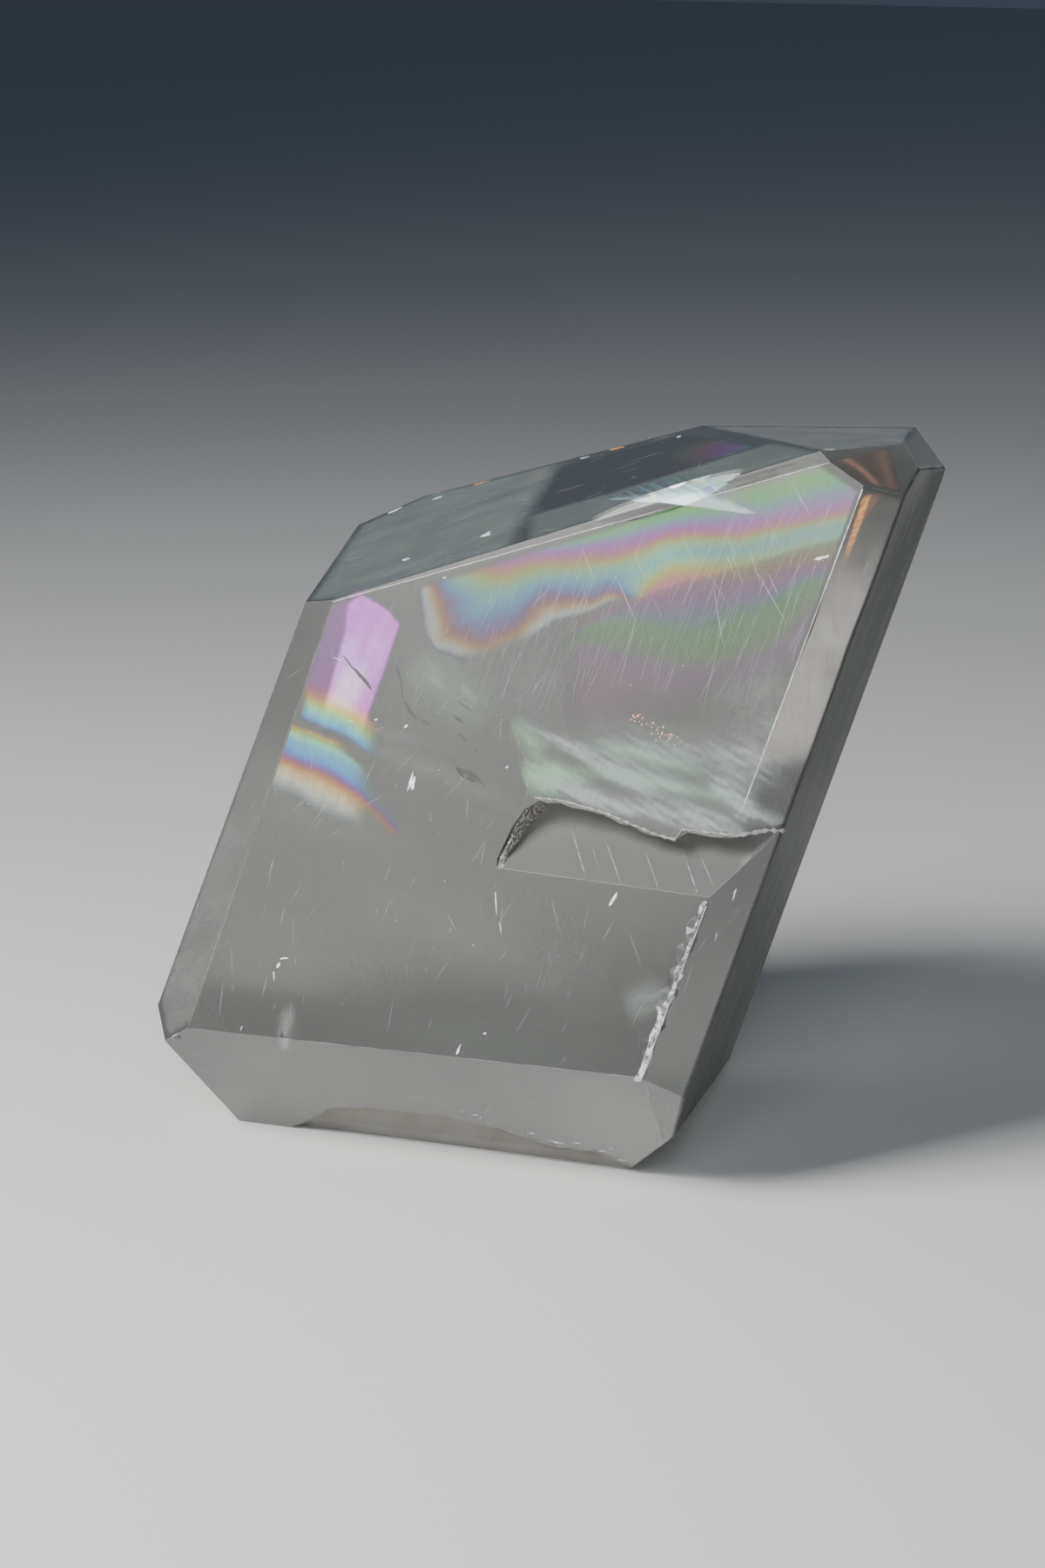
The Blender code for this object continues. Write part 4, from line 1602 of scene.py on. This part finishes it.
    def build(self, effects: Effects) -> None:
        """Builds the scratches of each face, the dark inner cracks and the painted highlights along the
        edges.
        """
        white = CrustFinish(
            "scratch_white", (0.80, 0.82, 0.82), (0.55, 0.57, 0.57), 2.5, 0.4, 0.06
        ).material(effects)
        faint = CrustFinish(
            "scratch_faint", (0.56, 0.57, 0.56), (0.42, 0.43, 0.42), 2.5, 0.4, 0.02
        ).material(effects)
        front = Facet.FRONT
        for name, box, count, slope, length, width, finish, seed in (
            ("top", (0.0, 50.0, 14.0, 44.0), 300, (74.0, 6.0), (2.0, 12.0), 0.013, faint, 21),
            ("cross", (14.0, 46.0, 22.0, 46.0), 30, (-58.0, 6.0), (3.0, 9.0), 0.019, white, 23),
            ("low", (-34.0, 34.0, -37.0, -2.0), 90, (78.0, 18.0), (0.8, 5.0), 0.016, faint, 25),
            ("left", (-26.0, 12.0, -8.0, 26.0), 60, (72.0, 20.0), (1.0, 5.0), 0.015, faint, 27),
        ):
            self.scatter(f"scratches_{name}", front, box, count, slope, length, width, finish, seed)
        for number, facet in enumerate(
            (
                Facet.FRONT_RIGHT, Facet.FRONT_LEFT, Facet.FRONT_FOOT, Facet.TOP, Facet.CROWN, Facet.RIGHT,
                Facet.LEFT, Facet.BACK, Facet.SHOULDER,
            )
        ):
            self.scatter(
                f"scratches_{facet.name.lower()}", facet, (-70.0, 70.0, -60.0, 60.0), 170, (66.0, 24.0),
                (1.0, 7.0), 0.014, faint, 29 + 2 * number,
            )
        dark = CrustFinish("crack_dark", (0.05, 0.05, 0.045), (0.12, 0.12, 0.11), 1.2, 0.5).material(effects)
        starts = np.array(
            [
                (-20.9, 15.0), (-18.9, 13.4), (-12.7, 14.5), (-10.8, 9.6), (-2.8, 10.3), (-3.2, 8.1),
                (-2.3, 5.8), (-8.6, 7.6), (0.6, 4.2), (-2.0, 1.2), (-1.4, 0.9),
            ]
        )
        ends = np.array(
            [
                (-18.2, 12.8), (-15.8, 10.5), (-10.8, 9.6), (-8.2, 7.0), (-0.4, 8.6), (-1.4, 7.2),
                (-0.7, 4.7), (-6.4, 6.4), (1.0, 3.0), (1.4, -0.6), (2.6, -1.1),
            ]
        )
        radius = np.array([0.12, 0.28, 0.2, 0.26, 0.1, 0.2, 0.12, 0.12, 0.1, 0.42, 0.3])
        paths, radii = self.strokes(front, starts, ends, radius, 0.06, 0.2, 31)
        hairs("inner_cracks", paths, radii, front.normal, dark)
        self.edges(effects)


@dataclass
class Specks:
    """Small marks: flecks, glints, dust, copper sparks and teal grains at the foot."""

    finishes: tuple = (
        ("fleck_pale", (0.82, 0.84, 0.83), (0.6, 0.62, 0.61), 0.5, 0.5, 0.12),
        ("dust_pale", (0.62, 0.63, 0.62), (0.4, 0.41, 0.4), 0.5, 0.6, 0.03),
        ("grain_teal", (0.25, 0.52, 0.46), (0.62, 0.72, 0.66), 0.5, 0.5, 0.1),
        ("spark_copper", (0.85, 0.28, 0.12), (0.98, 0.62, 0.42), 0.3, 0.3, 1.0),
        ("glint_white", (0.90, 0.95, 0.97), (0.62, 0.72, 0.76), 0.6, 0.3, 0.7),
        ("glint_amber", (0.72, 0.36, 0.07), (0.34, 0.17, 0.06), 0.8, 0.3, 0.45),
    )
    fields: tuple = (
        ("front_flecks", Facet.FRONT, "fleck_pale", FLECK_LIFT, 51, (
            (-8.5, -1.6, 1.7, 0.5, 82.0), (-8.0, -1.7, 1.5, 0.3, 80.0), (2.9, -37.4, 1.2, 0.3, 75.0),
            (-25.6, -28.6, 0.9, 0.28, 60.0), (-24.9, -27.6, 0.8, 0.2, 10.0), (-26.1, -30.4, 1.1, 0.2, 100.0),
            (5.7, 1.8, 0.32, 0.26, 0.0), (23.2, -14.4, 1.6, 0.3, 58.0), (6.2, -17.0, 2.4, 0.14, 98.0),
            (7.2, -20.0, 1.0, 0.12, 110.0), (-30.3, -38.0, 0.5, 0.14, 80.0), (-6.6, 26.8, 0.5, 0.2, 10.0),
            (-18.6, 6.0, 0.7, 0.18, 10.0), (-14.8, 6.5, 0.6, 0.2, 0.0), (-10.0, 6.0, 0.5, 0.25, 40.0),
            (-21.4, 14.4, 1.2, 0.12, -15.0), (47.6, 33.4, 1.3, 0.4, 25.0), (6.5, -34.5, 0.3, 0.3, 0.0),
        )),
        ("bevel_fleck", Facet.FRONT_RIGHT, "fleck_pale", FLECK_LIFT, 52, (
            (15.8, -7.3, 1.1, 0.3, 69.0), (13.2, -13.0, 0.7, 0.12, 74.0),
        )),
        ("top_flecks", Facet.TOP, "fleck_pale", FLECK_LIFT, 53, (
            (-10.5, -5.3, 1.5, 0.7, 20.0), (-6.9, 6.8, 1.9, 0.9, 30.0), (-8.0, 7.2, 1.2, 0.5, -20.0),
        )),
        ("back_edge_glints", Facet.TOP, "glint_white", FLECK_LIFT, 55, (
            (-61.2, -9.6, 1.7, 0.8, 117.0), (-58.5, -2.5, 1.6, 0.6, 60.0), (-46.2, 21.0, 1.5, 0.4, 57.0),
            (-33.5, 36.0, 0.9, 0.4, 20.0),
        )),
        ("amber_glints", Facet.TOP, "glint_amber", FLECK_LIFT, 57, (
            (-57.8, 4.4, 2.6, 0.6, 60.0), (-43.2, 26.8, 2.4, 0.8, 53.0),
        )),
        ("foot_grains", Facet.FRONT_FOOT, "grain_teal", 0.02, 59, (
            (1.2, -21.4, 1.0, 0.4, 20.0), (2.0, -21.9, 0.5, 0.3, 60.0), (9.3, -24.1, 0.9, 0.35, 0.0),
            (12.4, -25.6, 1.4, 0.3, -10.0), (15.4, -25.2, 1.0, 0.3, 8.0), (18.9, -26.3, 1.1, 0.35, 0.0),
            (20.6, -25.4, 0.8, 0.3, 20.0), (21.6, -27.9, 0.8, 0.3, 0.0), (-0.4, -20.8, 0.4, 0.2, 0.0),
        )),
    )

    def fleck(
        self,
        name: str,
        facet: Facet,
        rows: tuple[tuple[float, ...], ...],
        lift: float,
        material: bpy.types.Material,
        seed: int,
    ) -> None:
        """Builds flecks from rows of across, up, half length, half width and slope in degrees.

        Args:
            name: the piece's name.
            facet: the plane that they lie in.
            rows: the flecks.
            lift: height over the plane in mm.
            material: their finish.
            seed: picks how uneven they are.
        """
        table = np.array(rows)
        turn = np.radians(table[:, 4])
        _, level, rising = facet.axes()
        long_way = np.cos(turn)[:, None] * level + np.sin(turn)[:, None] * rising
        wide_way = -np.sin(turn)[:, None] * level + np.cos(turn)[:, None] * rising
        centres = facet.on(table[:, 0], table[:, 1], lift)
        swell = np.broadcast_to(facet.normal * 0.03, centres.shape)
        flakes(name, centres, long_way * table[:, 2:3], wide_way * table[:, 3:4], swell, material, seed)

    def scatter(
        self, name: str, count: int, size: tuple[float, float], material: bpy.types.Material, seed: int
    ) -> None:
        """Scatters dust over all facets: random directions, each speck where its ray leaves the stone.

        Args:
            name: the piece's name.
            count: how many.
            size: least and greatest half size in mm.
            material: their finish.
            seed: picks them.
        """
        draw = np.random.default_rng(seed)
        ray = draw.normal(0.0, 1.0, (count, 3))
        ray /= np.linalg.norm(ray, axis=-1, keepdims=True)
        facing = ray @ NORMALS.T
        reach = np.where(facing > 1e-6, REACHES / np.maximum(facing, 1e-6), np.inf)
        hit = reach.argmin(axis=-1)
        normal = NORMALS[hit]
        centres = HEART + ray * reach.min(axis=-1)[:, None] + normal * 0.01
        level = np.cross(normal, [0.37, 0.21, 0.9])
        level /= np.linalg.norm(level, axis=-1, keepdims=True)
        half = draw.uniform(size[0], size[1], (count, 1)) * draw.uniform(0.4, 1.0, (count, 1))
        kept = (
            (hit != list(Facet).index(Facet.BASE))
            & (np.sort(reach, axis=-1)[:, 1] - reach.min(axis=-1) > 0.8)
        )
        kept &= ~in_notch(centres)
        flakes(
            name,
            centres[kept],
            (level * half)[kept],
            (np.cross(normal, level) * half * 0.8)[kept],
            (normal * 0.02)[kept],
            material,
            seed + 1,
        )

    def build(self, effects: Effects) -> None:
        """Builds the specks."""
        finishes = {row[0]: CrustFinish(*row).material(effects) for row in self.finishes}
        for name, facet, finish, lift, seed, rows in self.fields:
            self.fleck(name, facet, rows, lift, finishes[finish], seed)
        draw = np.random.default_rng(61)
        share = draw.uniform(0.0, 1.0, 44)
        rows = np.stack(
            [
                23.0 + 6.4 * share + draw.normal(0, 0.35, 44),
                10.3 - 2.5 * share + draw.normal(0, 0.45, 44),
                draw.uniform(0.09, 0.24, 44),
                draw.uniform(0.06, 0.15, 44),
                draw.uniform(0, 180, 44),
            ],
            -1,
        )
        self.fleck("copper_sparks", Facet.FRONT, tuple(map(tuple, rows)), 0.01, finishes["spark_copper"], 63)
        self.scatter("dust", 420, (0.05, 0.16), finishes["dust_pale"], 65)


@dataclass
class MilkyFacesAndPaintedLight:
    """Soft milky clouds under the facets beside the front face, whose white and glow are also painted light:
    they brighten each facet as the light that falls on it would.
    """

    count: int = 56
    margin: float = 0.4
    depth: float = 0.4
    rim: float = 0.95

    def cloud(
        self,
        name: str,
        facet: Facet,
        tint: tuple[float, float, float, float, float],
        weight: Callable,
        effects: Effects,
        seed: int,
        above: float | None = None,
    ) -> None:
        """Builds one cloud as a thin lens under a whole facet; its glow is painted light.

        Args:
            name: the piece's name.
            facet: the facet that it lies under.
            tint: film path, pureness, glow and shine of the painted light, and share of the colour that
                reflects light.
            weight: gives the alpha from across and up, in mm.
            effects: the shared groups.
            seed: picks its patches.
            above: if given, it covers only the part of the facet above this distance up it, in mm.
        """
        spot, share = facet.field(self.count, self.margin, above)
        across, up = spot[..., 0], spot[..., 1]
        patch = 0.85 + 0.22 * ripple(across, up, 12.0, seed) + 0.12 * ripple(across, up, 3.5, seed + 1)
        veil = smooth(1.0, self.rim, share) * np.clip(patch, 0.1, 1.1) * weight(across, up)
        marks = {
            "film": tint[0] + 0.10 * ripple(across, up, 9.0, seed + 2),
            "veil": veil,
            "glow": np.full_like(veil, tint[2]),
            "pure": np.full_like(veil, tint[1]),
        }
        FilmFinish(name, vivid=1.0, shine=tint[3], base=tint[4]).lay(
            facet.on(across, up, -self.depth), facet.normal, LENS_SWELL, marks, effects
        )

    def build(self, effects: Effects) -> None:
        """Builds the clouds."""
        self.cloud(
            "milk_and_painted_light_crown",
            Facet.CROWN,
            (0.30, 0.05, 0.62, 2.6, 0.95),
            lambda across, up: np.full_like(across, 0.85),
            effects,
            SEED + 120,
        )
        self.cloud(
            "milk_and_painted_light_shoulder",
            Facet.SHOULDER,
            (0.30, 0.05, 0.34, 3.0, 0.95),
            lambda across, up: np.full_like(across, 0.55),
            effects,
            SEED + 122,
        )
        self.cloud(
            "milk_and_painted_light_top", Facet.TOP, (0.74, 0.10, 0.55, 1.4, 0.95), self.beside_dark_sheet, effects, SEED + 124
        )
        self.cloud(
            "milk_and_painted_light_strip",
            Facet.FRONT_TOP,
            (0.50, 0.16, 0.30, 0.7, 0.1),
            lambda across, up: 0.7 * smooth(27.0, 17.0, across),
            effects,
            SEED + 130,
        )
        self.cloud(
            "milk_and_painted_light_right_bevel",
            Facet.FRONT_RIGHT,
            (0.42, 0.10, 0.5, 1.9, 0.95),
            lambda across, up: (0.62 * smooth(44.0, 24.0, up) + 0.1) * smooth(8.5, 13.0, up),
            effects,
            SEED + 127,
            8.5,
        )
        self.cloud(
            "milk_and_painted_light_left_bevel",
            Facet.FRONT_LEFT,
            (0.30, 0.05, 0.4, 1.0, 0.95),
            lambda across, up: 0.42 * smooth(4.0, -26.0, up),
            effects,
            SEED + 133,
        )

    @staticmethod
    def beside_dark_sheet(across: np.ndarray, up: np.ndarray) -> np.ndarray:
        """Weight of the top facet's cloud: it stops where the painted dark sheet lies.

        Args:
            across: level distances in mm.
            up: distances up the facet in mm.

        Returns:
            The alpha of each spot.
        """
        left = 0.62 * smooth(1.0, -3.0, up - 13.4 - 0.1111 * (-11.4 - across))
        line = np.interp(up, (13.6, 25.4, 47.4), (-10.6, -5.5, 0.4))
        return left + 0.4 * smooth(0.0, 2.0, across - line) * smooth(12.5, 15.0, up)


@dataclass
class FootBreak:
    """The break that runs through the front foot bevel, with darker, yellowish stone below it."""

    line: tuple = (
        (-30.0, -28.9), (-26.0, -26.2), (-21.3, -23.4), (-16.5, -20.6), (-12.4, -19.2), (-8.0, -18.7),
        (-3.3, -18.6), (-0.3, -21.9), (3.0, -23.2), (6.0, -24.6), (10.8, -26.3), (15.0, -26.6), (19.0, -26.2),
        (21.0, -27.4), (23.0, -28.5),
    )

    def build(self, effects: Effects) -> None:
        """Builds the darker, yellowish field below the break as a thin lens, and the break's pale and dark
        lines.
        """
        line = np.array(self.line)
        across, share = lattice((-29.5, 22.5, 150), (0.0, 1.0, 24))
        top = np.interp(across, line[:, 0], line[:, 1]) + 0.35 * ripple(across, across, 3.0, SEED + 140)
        up = -30.2 + (top + 30.2) * share
        rim = (
            smooth(-29.5, -27.0, across)
            * smooth(22.5, 20.0, across)
            * smooth(0.0, 0.1, share)
            * (1.0 - 0.55 * smooth(0.9, 0.2, share))
        )
        patch = np.clip(0.7 + 0.4 * ripple(across, up, 5.0, SEED + 141), 0.1, 1.2)
        marks = {
            "film": 0.38 + 0.08 * ripple(across, up, 8.0, SEED + 142),
            "veil": 0.62 * rim * patch,
            "glow": 0.05 * rim,
            "pure": np.full_like(across, 0.24),
        }
        grid = drape(Facet.FRONT_FOOT.within(across, up, 0.35 + 0.5 * share), 0.1)
        FilmFinish("foot_break", vivid=1.0, shine=0.3, base=0.42).lay(
            grid, Facet.FRONT_FOOT.normal, LENS_SWELL, marks, effects
        )
        along = np.linspace(0.0, 1.0, 160)
        spread = np.linspace(-29.5, 22.5, 160)
        level = np.interp(spread, line[:, 0], line[:, 1]) + 0.35 * ripple(spread, spread, 3.0, SEED + 140)
        pale = CrustFinish(
            "break_pale", (0.62, 0.66, 0.62), (0.35, 0.36, 0.34), 1.4, 0.4, 0.03
        ).material(effects)
        dark = CrustFinish("break_dark", (0.06, 0.06, 0.05), (0.20, 0.20, 0.18), 1.6, 0.5).material(effects)
        jag = 0.12 * ripple(spread, spread, 0.8, SEED + 143)
        for name, drop, width, material in (
            ("foot_break_pale", 0.05, 0.09, pale), ("foot_break_dark", -0.16, 0.12, dark)
        ):
            radii = (
                width
                * np.clip(0.5 + 0.7 * ripple(spread, spread, 5.0, SEED + 144), 0.08, 1.2)
                * np.sin(along * math.pi) ** 0.4
            )
            path = Facet.FRONT_FOOT.within(spread, level + drop + jag, HAIR_DEPTH)
            hairs(name, path[None], radii[None], Facet.FRONT_FOOT.normal, material)


@dataclass
class Studio:
    """The pale floor, the soft lights and the camera."""

    target: tuple[float, float, float] = (0.0128, -0.0069, 0.050)
    distance: float = 0.612
    lens_mm: float = 100.0
    sensor_mm: float = 36.0
    floor_size: float = 6.0
    floor_colour: tuple[float, float, float, float] = (0.62, 0.62, 0.61, 1.0)
    surround: tuple[float, float, float, float] = (0.046, 0.060, 0.082, 1.0)
    light_spread: float = 115.0
    floor_roughness: float = 0.6

    def camera(self) -> None:
        """Places the camera at the photograph's viewing angle."""
        data = bpy.data.cameras.new("camera")
        data.lens = self.lens_mm
        data.sensor_width = self.sensor_mm
        data.clip_start = 0.01
        camera = bpy.data.objects.new("camera", data)
        bpy.context.scene.collection.objects.link(camera)
        back = Vector(direction(VIEW_HEADING, VIEW_RISE))
        camera.location = Vector(self.target) + back * self.distance
        camera.rotation_euler = back.to_track_quat("Z", "Y").to_euler()
        bpy.context.scene.camera = camera

    def area_light(
        self, name: str, place: tuple, aim: tuple, size: float, power: float, colour: tuple
    ) -> None:
        """Adds one square soft light.

        Args:
            name: its name.
            place: where it hangs.
            aim: what it points at.
            size: its side in m.
            power: its power in W.
            colour: its colour.
        """
        data = bpy.data.lights.new(name, "AREA")
        data.size = size
        data.energy = power
        data.color = colour
        data.spread = math.radians(self.light_spread)
        lamp = bpy.data.objects.new(name, data)
        bpy.context.scene.collection.objects.link(lamp)
        lamp.location = place
        lamp.rotation_euler = (Vector(place) - Vector(aim)).to_track_quat("Z", "Y").to_euler()

    def lights(self) -> None:
        """A key light from the front left, a weak one from the front right, and a dim even surround."""
        world = bpy.data.worlds.new("surround")
        world.use_nodes = True
        world.node_tree.nodes["Background"].inputs["Color"].default_value = self.surround
        bpy.context.scene.world = world
        self.area_light("key_light", (-0.34, -0.46, 0.50), (0.0, -0.06, 0.03), 0.38, 5.2, (1.0, 0.985, 0.96))
        self.area_light("front_light", (0.30, -0.75, 0.45), (0.0, -0.06, 0.04), 0.35, 1.6, (0.93, 0.96, 1.0))

    def floor(self) -> None:
        """Lays a wide pale floor."""
        half = self.floor_size / 2
        data = bpy.data.meshes.new("floor")
        data.from_pydata(
            [(-half, -half, 0.0), (half, -half, 0.0), (half, half, 0.0), (-half, half, 0.0)],
            [],
            [(0, 1, 2, 3)],
        )
        floor = bpy.data.objects.new("floor", data)
        bpy.context.scene.collection.objects.link(floor)
        material, _, shader = new_material("floor_paper")
        shader.inputs["Base Color"].default_value = self.floor_colour
        shader.inputs["Roughness"].default_value = self.floor_roughness
        data.materials.append(material)

    def build(self) -> None:
        """Builds the studio."""
        self.camera()
        self.lights()
        self.floor()


def main() -> None:
    """Loads the frame, dresses the stone and builds each piece in order."""
    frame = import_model()
    Studio().build()
    effects = Effects()
    stone = frame["nodes"][STONE]
    finish = ClearCalcite().material(effects)
    for slot in stone.material_slots:
        slot.material = finish
    for part in (
        RainbowFilm(), PrismFilm(), Veils(), TopCracks(), CornerGlow(), MilkyFacesAndPaintedLight(), FootBreak(), Ledge(),
        Scratches(), Specks(),
    ):
        part.build(effects)
        LOG.info("built %s", type(part).__name__)


if __name__ == "__main__":
    logging.basicConfig(level=logging.INFO)
    main()
